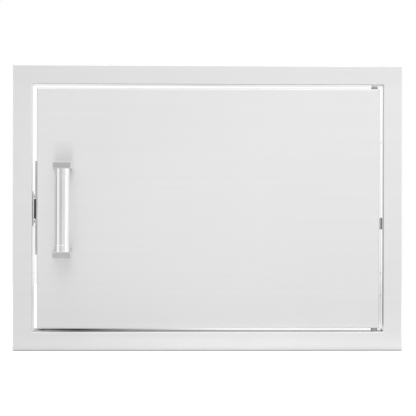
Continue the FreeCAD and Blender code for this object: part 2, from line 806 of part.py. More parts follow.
def hinge_pin_spring():
    """Coil the spring between the collar and the lower ear as half turns of a helix."""
    radius, wire = size("spring_radius").value, size("spring_wire").value
    turns = int(size("spring_turns").value)
    halves = 2 * turns
    climb = (size("spring_length").value - wire - 2 * size("seat_clearance").value) / halves
    slope = climb / (radius * math.pi)
    places = []
    for step in range(halves + 1):
        angle = step * math.pi
        point = FreeCAD.Vector(radius * math.cos(angle), radius * math.sin(angle), climb * step)
        heading = FreeCAD.Vector(-math.sin(angle), math.cos(angle), slope).normalize()
        places.append((point, heading))
    edges = []
    for (start, leaving), (end, arriving) in zip(places, places[1:]):
        edges += biarc(start, end, leaving, arriving)
    path = Part.Wire(edges)
    start, heading = places[0]
    outwards = FreeCAD.Vector(wire / 2, 0, 0)
    corners = [FreeCAD.Rotation(heading, 360 * side / WIRE_SIDES) * outwards for side in range(WIRE_SIDES)]
    section = Part.makePolygon([start + corner for corner in corners + corners[:1]])
    piece = document.addObject("Part::Feature", "hinge_pin_spring")
    piece.Label = "hinge_pin_spring"
    piece.Shape = path.makePipeShell([section], True, False)
    pieces.append(piece)
    print(f"spring: least gap between turns {least_gap(path, wire, turns):.2f} mm")
    place(piece, pivot_x, pivot_y, lower_lug_top + size("spring_wire") / 2 + size("seat_clearance"))


upper_pin_bush()
washer("upper_hinge_washer", size("upper_washer_height"), door_top)
upper_hinge_bracket()
upper_hinge_pin()
pin_collar()
hinge_pin_spring()


# Handle

def handle_post(label, z, turn):
    """Shape one cast post: a slab across the bar's end, and a tapered neck behind the bar."""
    body = new_body(label)
    axis = -size("handle_standoff")
    nose = axis - size("bar_radius") - size("ferrule_wall") - size("post_nose")
    slab, neck = size("post_thickness"), size("neck_length")
    heel = axis + size("neck_depth")
    half_width = size("post_width") / 2
    side = new_sketch(body, "YZ_Plane")
    outline(side, [
        (0, slab),
        (nose, slab),
        (nose, 0),
        (axis, 0),
        (axis, -neck),
        (axis + size("bar_radius"), -neck),
        (heel, -neck / 3),
        (heel + size("post_round"), 0),
        (-size("foot_length"), 0),
        (0, -size("foot_height")),
    ])
    pad(body, side, size("post_width"), symmetric=True)
    taper = new_sketch(body, "XZ_Plane")
    for hand in (-1, 1):
        outline(taper, [
            (hand * half_width, 0),
            (hand * (half_width - size("neck_flare")), -neck / 3),
            (hand * (size("bar_radius") + size("ferrule_wall")), -neck - OVERSHOOT),
            (hand * (half_width + OVERSHOOT), -neck - OVERSHOOT),
            (hand * (half_width + OVERSHOOT), 0),
        ])
    pocket(body, taper, symmetric=True)
    saddle = new_sketch(body, "XY_Plane")
    circle(saddle, 0, axis, size("bar_radius") + size("ferrule_wall"))
    pocket(body, saddle, neck + OVERSHOOT)
    spigot = new_sketch(body, "XY_Plane")
    circle(spigot, 0, axis, size("bar_radius") - size("bar_wall"))
    pad(body, spigot, neck, backwards=True)
    thread = new_sketch(body, "XZ_Plane")
    circle(thread, 0, slab / 2, size("handle_screw_radius"))
    pocket(body, thread, size("screw_grip") + size("thread_spare"), backwards=True)
    corner = size("post_round")
    fillet(body, corner, lambda box: near(box.ZMin, slab) and near(box.XLength, 0) and box.YLength > slab.value)
    fillet(body, corner, lambda box: near(box.YMin, nose) and near(box.ZLength, 0) and box.XLength > slab.value)
    place(body, handle_x, front, z, turn)


def handle_bar():
    """Cut the polished tube between the two slabs."""
    body = new_body("handle_bar")
    section = new_sketch(body, "XY_Plane")
    circle(section, 0, 0, size("bar_radius"))
    circle(section, 0, 0, size("bar_radius") - size("bar_wall"))
    pad(body, section, half_bar * 2, symmetric=True)
    place(body, handle_x, front - size("handle_standoff"), handle_z)


def handle_ferrule(label, z, turn):
    """Turn one polished sleeve with a rolled edge for the bar's end."""
    body = new_body(label)
    inner, length = size("bar_radius"), size("ferrule_length")
    outer = inner + size("ferrule_wall")
    bead = outer + size("bead_proud")
    section = new_sketch(body, "XZ_Plane")
    outline(section, [
        (inner, 0),
        (inner, -length),
        (bead, -length),
        (bead, size("bead_height") - length),
        (outer, size("bead_height") - length),
        (outer, 0),
    ])
    revolve(body, section)
    chamfer(body, size("bead_proud") * BEVELLED, lambda box: near(box.XMax, bead) and near(box.ZLength, 0))
    place(body, handle_x, front - size("handle_standoff"), z, turn)


def handle_backing_plate():
    """Cut the plate behind the skin that spreads the handle's pull."""
    body = new_body("handle_backing_plate")
    sketch = new_sketch(body, "XZ_Plane")
    rectangle(sketch, 0, 0, size("backing_width"), size("handle_length") + size("backing_margin") * 2,
              size("bend_radius"))
    for side in (-1, 1):
        circle(sketch, 0, side * screw_z, size("handle_screw_radius") + size("hole_clearance"))
    pad(body, sketch, size("backing_sheet"), backwards=True)
    place(body, handle_x, skin_back, handle_z)


def handle_screws():
    """Turn the two screws that pull the posts against the skin from inside the door."""
    body = new_body("handle_screws")
    head_front = size("door_sheet") + size("backing_sheet")
    shank = new_sketch(body, "XZ_Plane", -head_front - size("screw_head_height") / 2)
    circle(shank, 0, screw_z, size("handle_screw_radius"))
    first = pad(body, shank, size("screw_grip") + head_front + size("screw_head_height") / 2)
    head = new_sketch(body, "XZ_Plane", -head_front)
    circle(head, 0, screw_z, size("screw_head_radius"))
    second = pad(body, head, size("screw_head_height"), backwards=True)
    mirror(body, [first, second], "XY_Plane")
    place(body, handle_x, front, handle_z)


for end, side in (("upper", 1), ("lower", -1)):
    turn = 0 if side > 0 else 180
    handle_post(f"handle_post_{end}", handle_z + side * half_bar, turn)
    handle_ferrule(f"handle_ferrule_{end}", handle_z + side * half_bar, turn)
handle_bar()
handle_backing_plate()
handle_screws()


# Magnetic catch

def strike_plate():
    """Cut the steel plate on the door's back that reaches past the free edge to the magnet."""
    body = new_body("strike_plate")
    sketch = new_sketch(body, "XZ_Plane")
    rectangle(sketch, size("strike_width") / 2, 0, size("strike_width"), size("strike_length"),
              size("bend_radius"))
    for step in (-1, 0, 1):
        circle(sketch, strike_rivet_x - strike_left, step * size("strike_rivet_spread"), size("rivet_radius"))
    pad(body, sketch, size("strike_sheet"), backwards=True)
    recess = new_sketch(body, "XZ_Plane")
    rectangle(recess, 0, -size("handle_drop"), size("strike_recess") * 2, size("housing_length"))
    pocket(body, recess)
    place(body, strike_left, door_back, door_z)


def rivet_row(label, role, grip, offsets):
    """Turn blind rivets in a row along Z. Their heads face +Y or +X, and the sheets lie behind zero."""
    body = new_body(label)
    head_height = size("rivet_head_height")
    faces_y = role == "XZ_Plane"
    for offset in offsets:
        head = new_sketch(body, role)
        circle(head, 0, offset, size("rivet_head_radius"))
        pad(body, head, head_height, backwards=faces_y)
        shank = new_sketch(body, role)
        circle(shank, 0, offset, size("rivet_radius"))
        pad(body, shank, grip + size("rivet_tail"), backwards=not faces_y)
        tail = new_sketch(body, role, grip if faces_y else -grip)
        circle(tail, 0, offset, size("rivet_tail_radius"))
        pad(body, tail, size("rivet_tail"), backwards=not faces_y)
    chamfer(body, head_height * BEVELLED, lambda box: near(box.YMin if faces_y else box.XMin, head_height))
    return body


def catch_bracket():
    """Fold the angle that carries the magnet: one leg on the jamb, one across the gap."""
    body = new_body("catch_bracket")
    gauge, leg = size("bracket_gauge"), size("bracket_leg")
    rear = catch_back + gauge
    profile = new_sketch(body, "XY_Plane")
    outline(profile, [
        (0, size("bracket_front")),
        (gauge, size("bracket_front")),
        (gauge, catch_back, size("bracket_bend")),
        (leg, catch_back),
        (leg, rear),
        (0, rear, size("bracket_bend") + gauge),
    ])
    pad(body, profile, size("bracket_length"), symmetric=True)
    rivets = new_sketch(body, "YZ_Plane")
    for side in (-1, 1):
        circle(rivets, bracket_rivet_y, side * size("bracket_rivet_spread") / 2, size("rivet_radius"))
    pocket(body, rivets, backwards=True)
    screws = new_sketch(body, "XZ_Plane")
    for side in (-1, 1):
        circle(screws, catch_x + half_opening_x, side * ear_z, size("catch_screw_radius"))
    pocket(body, screws)
    slots = new_sketch(body, "XZ_Plane")
    slot, half_housing = size("bracket_slot"), size("housing_length") / 2
    slot_length = size("bracket_length") / 2 - half_housing + OVERSHOOT
    for side in (-1, 1):
        rectangle(slots, gauge + slot / 2, side * (half_housing + slot_length / 2), slot, slot_length)
    pocket(body, slots)
    place(body, -half_opening_x, 0, handle_z)


def magnet_catch_housing():
    """Mould the black housing: a pocket for the magnet and an ear at each end."""
    body = new_body("magnet_catch_housing")
    width, length, depth = size("housing_width"), size("housing_length"), size("housing_depth")
    ears = new_sketch(body, "XZ_Plane")
    rectangle(ears, 0, 0, size("ear_width"), length + size("ear_length") * 2, size("bend_radius"))
    pad(body, ears, size("ear_thickness"))
    block = new_sketch(body, "XZ_Plane")
    rectangle(block, 0, 0, width, length, size("bracket_bend"))
    pad(body, block, depth)
    well = new_sketch(body, "XZ_Plane", depth)
    rectangle(well, 0, 0, core_width, size("magnet_length"))
    pocket(body, well, size("magnet_depth"))
    holes = new_sketch(body, "XZ_Plane")
    for side in (-1, 1):
        circle(holes, 0, side * ear_z, size("catch_screw_radius"))
    pocket(body, holes, size("ear_thickness") * 2, symmetric=True)
    place(body, catch_x, catch_back, handle_z)


def upright_slab(label, width, length, depth, offsets, y):
    """Cut flat slabs that stand in the housing's well, side by side across X."""
    body = new_body(label)
    sketch = new_sketch(body, "XZ_Plane")
    for offset in offsets:
        rectangle(sketch, offset, 0, width, length)
    pad(body, sketch, depth)
    place(body, catch_x, y, handle_z)


def catch_screws():
    """Turn the two screws that hold the housing to the angle."""
    body = new_body("catch_screws")
    ear = size("ear_thickness")
    end = size("bracket_gauge") + size("nut_height") + size("screw_end")
    shank = new_sketch(body, "XZ_Plane", -end)
    circle(shank, 0, ear_z, size("catch_screw_radius"))
    first = pad(body, shank, end + ear)
    head = new_sketch(body, "XZ_Plane", ear)
    circle(head, 0, ear_z, size("catch_head_radius"))
    second = pad(body, head, size("catch_head_height"))
    mirror(body, [first, second], "XY_Plane")
    place(body, catch_x, catch_back, handle_z)


def catch_nuts():
    """Cut the two hexagon nuts behind the angle."""
    body = new_body("catch_nuts")
    sketch = new_sketch(body, "XZ_Plane", -size("bracket_gauge"))
    corner = size("nut_radius")
    for side in (-1, 1):
        middle = side * ear_z
        turns = [step * math.pi / 3 for step in range(6)]
        outline(sketch, [(corner * math.cos(turn), middle + corner * math.sin(turn)) for turn in turns])
        circle(sketch, 0, middle, size("catch_screw_radius"))
    pad(body, sketch, size("nut_height"), backwards=True)
    place(body, catch_x, catch_back, handle_z)


def jamb_blanking_plug():
    """Mould the snap-in plug that closes the hinge stile's spare catch opening."""
    body = new_body("jamb_blanking_plug")
    flange = new_sketch(body, "YZ_Plane")
    rectangle(flange, 0, 0, size("plug_width"), size("plug_length"), size("bend_radius"))
    pad(body, flange, size("plug_flange"), backwards=True)
    core = new_sketch(body, "YZ_Plane")
    rectangle(core, 0, 0, size("plug_width") - size("plug_border") * 2,
              size("plug_length") - size("plug_border") * 2, size("bend_radius"))
    pad(body, core, size("frame_sheet") + size("plug_flange"))
    place(body, half_opening_x, plug_y, centre_z - size("plug_drop"))


core_width = size("magnet_width") + size("pole_sheet") * 2
pole_front = door_back + size("strike_sheet") + size("seat_clearance")
catch_back = pole_front + size("pole_proud") + size("housing_depth")
catch_x = size("bracket_gauge") + size("housing_inset") + size("housing_width") / 2 - half_opening_x
ear_z = size("housing_length") / 2 + size("ear_length") / 2
well_floor = catch_back - size("housing_depth") + size("magnet_depth")

strike_plate()
strike_rivets = rivet_row("strike_rivets", "XZ_Plane", size("strike_sheet") + size("liner_sheet"),
                          [step * size("strike_rivet_spread") for step in (-1, 0, 1)])
place(strike_rivets, strike_rivet_x, door_back + size("strike_sheet"), door_z)
catch_bracket()
bracket_rivets = rivet_row("bracket_rivets", "YZ_Plane", size("bracket_gauge") + size("frame_sheet"),
                           [side * size("bracket_rivet_spread") / 2 for side in (-1, 1)])
place(bracket_rivets, size("bracket_gauge") - half_opening_x, bracket_rivet_y, handle_z)
magnet_catch_housing()
upright_slab("magnet_block", size("magnet_width"), size("magnet_length"), size("magnet_depth"), [0], well_floor)
pole_offset = (size("magnet_width") + size("pole_sheet")) / 2
upright_slab("magnet_pole_plates", size("pole_sheet"), size("magnet_length"),
             size("magnet_depth") + size("pole_proud"), [-pole_offset, pole_offset], well_floor)
catch_screws()
catch_nuts()
jamb_blanking_plug()


# Check and write

document.recompute()
for item in document.Objects:
    if "Invalid" in item.State or "Error" in item.State:
        raise ValueError(f"{item.Label} failed to build")
os.makedirs("parts", exist_ok=True)
for piece in pieces:
    if piece.Shape.isNull() or not piece.Shape.isValid():
        raise ValueError(f"{piece.Label} is not a sound solid")
    piece.Shape.exportStep(f"parts/{piece.Label}.step")
print(f"{len(pieces)} sub-parts written")
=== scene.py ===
"""Finishes an outdoor kitchen access door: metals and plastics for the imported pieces, and new meshes for
the hinge spring and the small fasteners."""

import math

import bmesh
import bpy
from mathutils import Matrix, Vector


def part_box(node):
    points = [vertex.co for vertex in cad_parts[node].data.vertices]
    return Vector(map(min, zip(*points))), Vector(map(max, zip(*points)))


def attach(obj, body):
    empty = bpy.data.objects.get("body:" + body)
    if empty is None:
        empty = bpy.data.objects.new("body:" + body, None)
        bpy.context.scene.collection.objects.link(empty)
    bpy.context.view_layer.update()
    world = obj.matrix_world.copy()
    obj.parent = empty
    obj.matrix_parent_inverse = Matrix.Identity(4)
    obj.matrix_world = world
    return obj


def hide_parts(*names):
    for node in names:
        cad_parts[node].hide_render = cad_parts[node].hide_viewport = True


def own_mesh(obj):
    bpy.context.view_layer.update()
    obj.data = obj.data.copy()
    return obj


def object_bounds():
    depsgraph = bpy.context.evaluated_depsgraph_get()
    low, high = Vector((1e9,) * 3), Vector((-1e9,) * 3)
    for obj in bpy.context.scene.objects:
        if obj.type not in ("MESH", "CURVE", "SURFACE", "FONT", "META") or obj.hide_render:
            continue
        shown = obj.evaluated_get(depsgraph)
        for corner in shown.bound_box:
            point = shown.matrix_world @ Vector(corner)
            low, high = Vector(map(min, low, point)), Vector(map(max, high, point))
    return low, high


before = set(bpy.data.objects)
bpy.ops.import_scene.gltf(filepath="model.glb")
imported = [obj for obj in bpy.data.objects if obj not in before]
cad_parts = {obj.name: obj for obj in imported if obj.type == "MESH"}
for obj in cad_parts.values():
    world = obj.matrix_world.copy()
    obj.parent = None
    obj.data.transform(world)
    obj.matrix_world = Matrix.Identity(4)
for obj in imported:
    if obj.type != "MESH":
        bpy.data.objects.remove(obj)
cad_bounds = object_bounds()

bl_info = {
    "name": "Island Access Door",
    "version": (1, 0, 0),
    "blender": (4, 5, 0),
    "location": "3D View > Sidebar > Access Door",
    "description": "Finishes, spring, fasteners and stage of an outdoor kitchen access door",
    "category": "Object",
}

MM = 0.001

# Turns of a pattern whose grain then runs along that axis

ALONG_X = (0.0, 0.0, 0.0)
ALONG_Z = (0.0, math.radians(90), 0.0)


def middle_of(node):
    """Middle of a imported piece's box."""
    low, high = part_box(node)
    return (low + high) / 2


# Edges of the frame's opening, of the door and of its handle

FRAME_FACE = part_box("frame_top_rail")[0].y
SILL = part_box("frame_bottom_rail")[1].z
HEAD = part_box("frame_top_rail")[0].z
HINGE_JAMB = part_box("frame_hinge_stile")[0].x
LATCH_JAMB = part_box("frame_latch_stile")[1].x
DOOR_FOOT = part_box("door_outer_skin")[0].z
HANDLE = middle_of("handle_bar")
HANDLE_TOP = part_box("handle_post_upper")[1].z

# Small fasteners: radius and height of their heads, and the nuts' radius at the corners and at the flats

RIVET_HEAD = 3.2 * MM
RIVET_RISE = 1.0 * MM
SCREW_HEAD = 2.9 * MM
SCREW_RISE = 1.9 * MM
NUT_CORNER = 3.1 * MM
SIXTH_TURN = math.pi / 3
NUT_FLAT = NUT_CORNER * math.cos(SIXTH_TURN / 2)

# Tolerances: a share that takes in the vertices on a limit, and distances in metres

JUST_OVER = 1.01
ON_AXIS = 1e-6
MERGED = 1e-7
NOT_ZERO = 1e-9


# Settings

class AccessDoorFinish(bpy.types.PropertyGroup):
    """Colours and gloss of the metals."""

    frame_colour: bpy.props.FloatVectorProperty(
        name="Frame steel", description="Colour of the folded frame", subtype="COLOR", size=3,
        min=0, max=1, default=(0.82, 0.82, 0.82))
    door_colour: bpy.props.FloatVectorProperty(
        name="Door steel", description="Colour of the door's outer skin", subtype="COLOR", size=3,
        min=0, max=1, default=(0.825, 0.825, 0.825))
    liner_colour: bpy.props.FloatVectorProperty(
        name="Liner steel", description="Colour of the mill-finish inner sheets", subtype="COLOR", size=3,
        min=0, max=1, default=(0.70, 0.70, 0.70))
    post_colour: bpy.props.FloatVectorProperty(
        name="Cast posts", description="Colour of the handle's cast posts", subtype="COLOR", size=3,
        min=0, max=1, default=(0.68, 0.68, 0.68))
    chrome_colour: bpy.props.FloatVectorProperty(
        name="Polished bar", description="Colour of the polished bar and sleeves", subtype="COLOR", size=3,
        min=0, max=1, default=(0.92, 0.92, 0.92))
    frame_roughness: bpy.props.FloatProperty(
        name="Frame roughness", description="Roughness of the brushed frame", subtype="FACTOR",
        min=0, max=1, default=0.34)
    door_roughness: bpy.props.FloatProperty(
        name="Door roughness", description="Roughness of the brushed door", subtype="FACTOR",
        min=0, max=1, default=0.36)
    grain: bpy.props.FloatProperty(
        name="Grain", description="How strongly the brushed grain shows", subtype="FACTOR",
        min=0, max=1, default=0.5)


class AccessDoorStage(bpy.types.PropertyGroup):
    """Camera and light."""

    camera_distance: bpy.props.FloatProperty(
        name="Camera distance", description="From the frame's face to the camera", unit="LENGTH",
        min=0.5, default=2.5)
    camera_side: bpy.props.FloatProperty(
        name="Camera offset", description="Camera to the right of the door's middle", unit="LENGTH",
        default=-0.12)
    camera_yaw: bpy.props.FloatProperty(
        name="Camera yaw", description="Camera turned to the right", unit="ROTATION",
        default=math.radians(1.49))
    camera_rise: bpy.props.FloatProperty(
        name="Camera rise", description="Camera above the door's middle, with level sight", unit="LENGTH",
        default=0.054)
    camera_roll: bpy.props.FloatProperty(
        name="Camera roll", description="Camera turned about its own axis", unit="ROTATION",
        default=math.radians(0.13))
    picture_width: bpy.props.FloatProperty(
        name="Picture width", description="Width of the view at the frame's face", unit="LENGTH",
        min=0.1, default=0.7108)
    picture_side: bpy.props.FloatProperty(
        name="Picture offset", description="Picture's middle to the right of the object's", unit="LENGTH",
        default=-0.0006)
    key_level: bpy.props.FloatProperty(
        name="Right panel", description="Brightness of the panel on the right", min=0, default=0.30)
    fill_level: bpy.props.FloatProperty(
        name="Left panel", description="Brightness of the panel on the left", min=0, default=0.35)
    top_level: bpy.props.FloatProperty(
        name="Top panel", description="Brightness of the panel overhead", min=0, default=0.65)


# Node helpers

def new_group(name, inputs, outputs):
    """Start a shader node group. An input whose value is None is a vector, and every other is a number."""
    group = bpy.data.node_groups.new(name, "ShaderNodeTree")
    for label, value in inputs:
        kind = "NodeSocketVector" if value is None else "NodeSocketFloat"
        made = group.interface.new_socket(name=label, in_out="INPUT", socket_type=kind)
        if value is not None:
            made.default_value = value
    for label in outputs:
        group.interface.new_socket(name=label, in_out="OUTPUT", socket_type="NodeSocketFloat")
    return group, group.nodes.new("NodeGroupInput"), group.nodes.new("NodeGroupOutput")


def feed(tree, slot, value):
    """Give a socket a value, or link another socket to it."""
    if isinstance(value, bpy.types.NodeSocket):
        tree.links.new(value, slot)
    else:
        slot.default_value = value


def maths(tree, operation, first, second, clamp=False):
    """Add a Math node between two values or sockets, and return its output."""
    node = tree.nodes.new("ShaderNodeMath")
    node.operation = operation
    node.use_clamp = clamp
    feed(tree, node.inputs[0], first)
    feed(tree, node.inputs[1], second)
    return node.outputs[0]


def product(tree, first, *others):
    """Multiply values or sockets."""
    for other in others:
        first = maths(tree, "MULTIPLY", first, other)
    return first


def total(tree, first, *others):
    """Add up values or sockets."""
    for other in others:
        first = maths(tree, "ADD", first, other)
    return first


def inverted(tree, value):
    """1 less a value."""
    return maths(tree, "SUBTRACT", 1.0, value)


def within(tree, value, middle, reach):
    """1 where a value lies within a reach of a number, else 0."""
    inside = maths(tree, "COMPARE", value, middle)
    inside.node.inputs[2].default_value = reach
    return inside


def axes(tree, vector):
    """Part a vector into its X, Y and Z."""
    node = tree.nodes.new("ShaderNodeSeparateXYZ")
    tree.links.new(vector, node.inputs[0])
    return node.outputs


def scaled(tree, vector, scales):
    """Stretch a vector, by numbers or by sockets."""
    parts = tree.nodes.new("ShaderNodeCombineXYZ")
    for slot, value in zip(parts.inputs, scales):
        feed(tree, slot, value)
    node = tree.nodes.new("ShaderNodeVectorMath")
    node.operation = "MULTIPLY"
    tree.links.new(vector, node.inputs[0])
    tree.links.new(parts.outputs[0], node.inputs[1])
    return node.outputs[0]


def noise(tree, vector, scale, detail=2.0, roughness=0.5):
    """Add a noise texture and return its value."""
    node = tree.nodes.new("ShaderNodeTexNoise")
    node.inputs["Scale"].default_value = scale
    node.inputs["Detail"].default_value = detail
    node.inputs["Roughness"].default_value = roughness
    tree.links.new(vector, node.inputs["Vector"])
    return node.outputs["Fac"]


def remap(tree, value, low, high, new_low, new_high):
    """Map one range of a value on another, and clamp it there."""
    node = tree.nodes.new("ShaderNodeMapRange")
    for slot, number in zip(node.inputs[1:5], (low, high, new_low, new_high)):
        slot.default_value = number
    tree.links.new(value, node.inputs[0])
    return node.outputs[0]


def rising(tree, value, low, high):
    """0 below a low number, 1 above a high one, and a slope between them."""
    return remap(tree, value, low, high, 0.0, 1.0)


def ramps(tree, value, *rows):
    """Map a value by several ramps, each given as (from, to, result at from, result at to)."""
    return [remap(tree, value, *row) for row in rows]


def band(tree, value, start, full, ease, end):
    """1 between two places, easing in before the first and out after the second, all in millimetres."""
    fall = remap(tree, value, ease * MM, end * MM, 1.0, 0.0)
    return product(tree, rising(tree, value, start * MM, full * MM), fall)


def brushed_grain_group():
    """Grain that runs along X: fine lines, broad bands and a few long scratches."""
    group, start, end = new_group(
        "Brushed Grain", [("Vector", None), ("Run", 6.0), ("Pitch", 1800.0)], ["Lines", "Bands", "Scratches"])
    vector, run, pitch = start.outputs["Vector"], start.outputs["Run"], start.outputs["Pitch"]
    lines = noise(group, scaled(group, vector, (run, pitch, pitch)), 1.0, detail=3.0, roughness=0.6)
    long, wide = product(group, run, 0.3), product(group, pitch, 0.06)
    bands = noise(group, scaled(group, vector, (long, wide, wide)), 1.0)
    short, sparse = product(group, run, 1.6), product(group, pitch, 0.45)
    cuts = noise(group, scaled(group, vector, (short, sparse, sparse)), 1.0, detail=0.0)
    group.links.new(lines, end.inputs["Lines"])
    group.links.new(bands, end.inputs["Bands"])
    group.links.new(rising(group, cuts, 0.70, 0.80), end.inputs["Scratches"])
    return group


def handling_marks_group():
    """Soft smears and dust that change the gloss."""
    group, start, end = new_group("Handling Marks", [("Vector", None), ("Size", 9.0)], ["Smears", "Dust"])
    placed = scaled(group, start.outputs["Vector"], (start.outputs["Size"],) * 3)
    smears = noise(group, placed, 1.0, detail=4.0, roughness=0.55)
    dust = noise(group, placed, 60.0, detail=1.0)
    group.links.new(rising(group, smears, 0.42, 0.68), end.inputs["Smears"])
    group.links.new(rising(group, dust, 0.66, 0.74), end.inputs["Dust"])
    return group


def speckle_group():
    """Fine pebbled skin of castings, mouldings and sintered blocks."""
    group, start, end = new_group("Speckle", [("Vector", None), ("Grains", 1500.0)], ["Pebbles", "Mottle"])
    placed = scaled(group, start.outputs["Vector"], (start.outputs["Grains"],) * 3)
    group.links.new(noise(group, placed, 1.0, detail=3.0, roughness=0.65), end.inputs["Pebbles"])
    group.links.new(noise(group, placed, 0.08), end.inputs["Mottle"])
    return group


class Finish:
    """One material under construction."""

    def __init__(self, name, metallic):
        self.material = bpy.data.materials.new(name)
        self.material.use_nodes = True
        self.tree = self.material.node_tree
        self.shader = self.tree.nodes["Principled BSDF"]
        self.shader.inputs["Metallic"].default_value = metallic

    def coordinates(self, turn=ALONG_X):
        """Object coordinates, turned so that the grain runs along their X."""
        source = self.tree.nodes.new("ShaderNodeTexCoord")
        mapping = self.tree.nodes.new("ShaderNodeMapping")
        mapping.inputs["Rotation"].default_value = turn
        self.tree.links.new(source.outputs["Object"], mapping.inputs["Vector"])
        return mapping.outputs["Vector"]

    def effect(self, name, maker, vector, **values):
        """Place one of the shared node groups, built the first time that it is asked for."""
        node = self.tree.nodes.new("ShaderNodeGroup")
        node.node_tree = bpy.data.node_groups.get(name) or maker()
        self.tree.links.new(vector, node.inputs["Vector"])
        for label, value in values.items():
            node.inputs[label].default_value = value
        return node.outputs

    def grain(self, vector, run, pitch):
        """Brushed grain, with so many lengths of line along a metre and so many lines across one."""
        return self.effect("Brushed Grain", brushed_grain_group, vector, Run=run, Pitch=pitch)

    def marks(self, vector, smears):
        """Handling marks, with so many smears to the metre."""
        return self.effect("Handling Marks", handling_marks_group, vector, Size=smears)

    def speckle(self, vector, grains):
        """Pebbled skin, with so many grains to the metre."""
        return self.effect("Speckle", speckle_group, vector, Grains=grains)

    def colour(self, factor, first, second):
        """Blend two colours into the base colour. Either may be a socket."""
        mix = self.tree.nodes.new("ShaderNodeMix")
        mix.data_type = "RGBA"
        self.tree.links.new(factor, mix.inputs["Factor"])
        for label, value in (("A", first), ("B", second)):
            feed(self.tree, mix.inputs[label], (*value, 1) if isinstance(value, tuple) else value)
        self.tree.links.new(mix.outputs["Result"], self.shader.inputs["Base Color"])

    def overlay_colour(self, factor, colour):
        """Lay another colour over the base colour by a mask."""
        self.colour(factor, self.shader.inputs["Base Color"].links[0].from_socket, colour)

    def gloss(self, factor, low, high, more=0.0):
        """Let the roughness follow a mask, with more added to it."""
        rough = total(self.tree, remap(self.tree, factor, 0, 1, low, high), more)
        self.tree.links.new(rough, self.shader.inputs["Roughness"])

    def relief(self, height, depth, strength):
        """Raise the surface by a height from 0 to 1, times a depth in metres."""
        bump = self.tree.nodes.new("ShaderNodeBump")
        bump.inputs["Distance"].default_value = depth
        bump.inputs["Strength"].default_value = strength
        self.tree.links.new(height, bump.inputs["Height"])
        self.tree.links.new(bump.outputs["Normal"], self.shader.inputs["Normal"])


def shade(colour, factor):
    """Make a colour lighter or darker."""
    return tuple(min(1.0, part * factor) for part in colour)


# Painted shade and darkening: colour, added roughness and share of full painted shade, and how near each
# fold it stays

DARKENING_COLOUR = (0.10, 0.10, 0.10)
DARKENING_ROUGHNESS = 0.25
GAP_SHADE_STRENGTH = 0.8
HINGE_REACH = 8 * MM
LATCH_REACH = 4 * MM
SILL_REACH = 4 * MM

# Bands behind the frame's face, as (start, full, ease, end) in millimetres

HINGE_EDGE = (0.1, 0.5, 6.0, 14.0)
HINGE_INSIDE = (20.0, 24.0, 30.0, 35.0)
LATCH_DEPTH = (0.1, 3.0, 57.0, 59.0)
SILL_FRONT = (3.0, 7.0, 21.0, 31.0)
SILL_STREAK = (17.0, 23.0, 41.0, 45.0)

# Ramps up the jambs and along the sill, as (from, to, amount at from, amount at to), placed in metres

HINGE_EDGE_HEIGHTS = (0.42, 0.08, 0.35, 1.0)
HINGE_INSIDE_HEIGHTS = (0.40, 0.08, 0.1, 0.7)
HINGE_FOOT = (SILL + 5 * MM, SILL + 15 * MM, 0.0, 1.0)
LATCH_HEIGHTS = (0.32, 0.22, 0.08, 0.4)
SILL_FRONT_ACROSS = (-0.20, 0.02, 0.25, 1.0)
SILL_LEFT = (-0.10, 0.02, 1.0, 0.0)
STREAK_END = (LATCH_JAMB + 18.4 * MM, LATCH_JAMB + 24.4 * MM, 0.0, 1.0)
SILL_DARKENING = (SILL + 16 * MM, SILL - 4 * MM, 0.0, 0.04)
HEAD_DARKENING = (HEAD - 7 * MM, HEAD + 3 * MM, 0.0, 0.03)

# The sill's streak: share of full painted shade, and change of roughness

STREAK_SHADE_STRENGTH = 0.5
STREAK_POLISH = -0.13

# On the door: darkening above its foot, and a patch of painted shade in millimetres from the handle's axis
# and its top

DOOR_FOOT_DARKENING = (DOOR_FOOT + 60 * MM, DOOR_FOOT + 15 * MM, 0.0, 0.055)
HANDLE_SHADE_ACROSS = (-19.6, -11.6, 12.4, 19.4)
HANDLE_SHADE_HEIGHTS = (-6.5, 0.5, 0.5, 39.5)
HANDLE_SHADE_STRENGTH = 0.14


def frame_painted_shade(tree, place):
    """Mask of the painted shade on the jambs and the sill beside the door, and of a slight darkening on both
    rails, and the change of roughness that a smoother streak makes on the left of the sill."""
    x, y, z = place
    depth = maths(tree, "SUBTRACT", y, FRAME_FACE)
    edge = product(tree, band(tree, depth, *HINGE_EDGE), remap(tree, z, *HINGE_EDGE_HEIGHTS))
    inside = product(tree, band(tree, depth, *HINGE_INSIDE), remap(tree, z, *HINGE_INSIDE_HEIGHTS))
    hinge = product(tree, total(tree, edge, inside), within(tree, x, HINGE_JAMB, HINGE_REACH),
                    remap(tree, z, *HINGE_FOOT))
    latch = product(tree, band(tree, depth, *LATCH_DEPTH), remap(tree, z, *LATCH_HEIGHTS),
                    within(tree, x, LATCH_JAMB, LATCH_REACH))
    left = remap(tree, x, *SILL_LEFT)
    streak = product(tree, band(tree, depth, *SILL_STREAK), left)
    rear = product(tree, streak, STREAK_SHADE_STRENGTH, remap(tree, x, *STREAK_END))
    front = product(tree, band(tree, depth, *SILL_FRONT), remap(tree, x, *SILL_FRONT_ACROSS))
    on_sill = within(tree, z, SILL, SILL_REACH)
    sill = product(tree, total(tree, front, rear), on_sill)
    # Painted shade in the gaps beside the door
    gap_shade = maths(tree, "MAXIMUM", maths(tree, "MAXIMUM", hinge, latch), sill)
    mask = total(tree, product(tree, gap_shade, GAP_SHADE_STRENGTH), *ramps(tree, z, SILL_DARKENING, HEAD_DARKENING))
    return mask, product(tree, streak, STREAK_POLISH, on_sill)


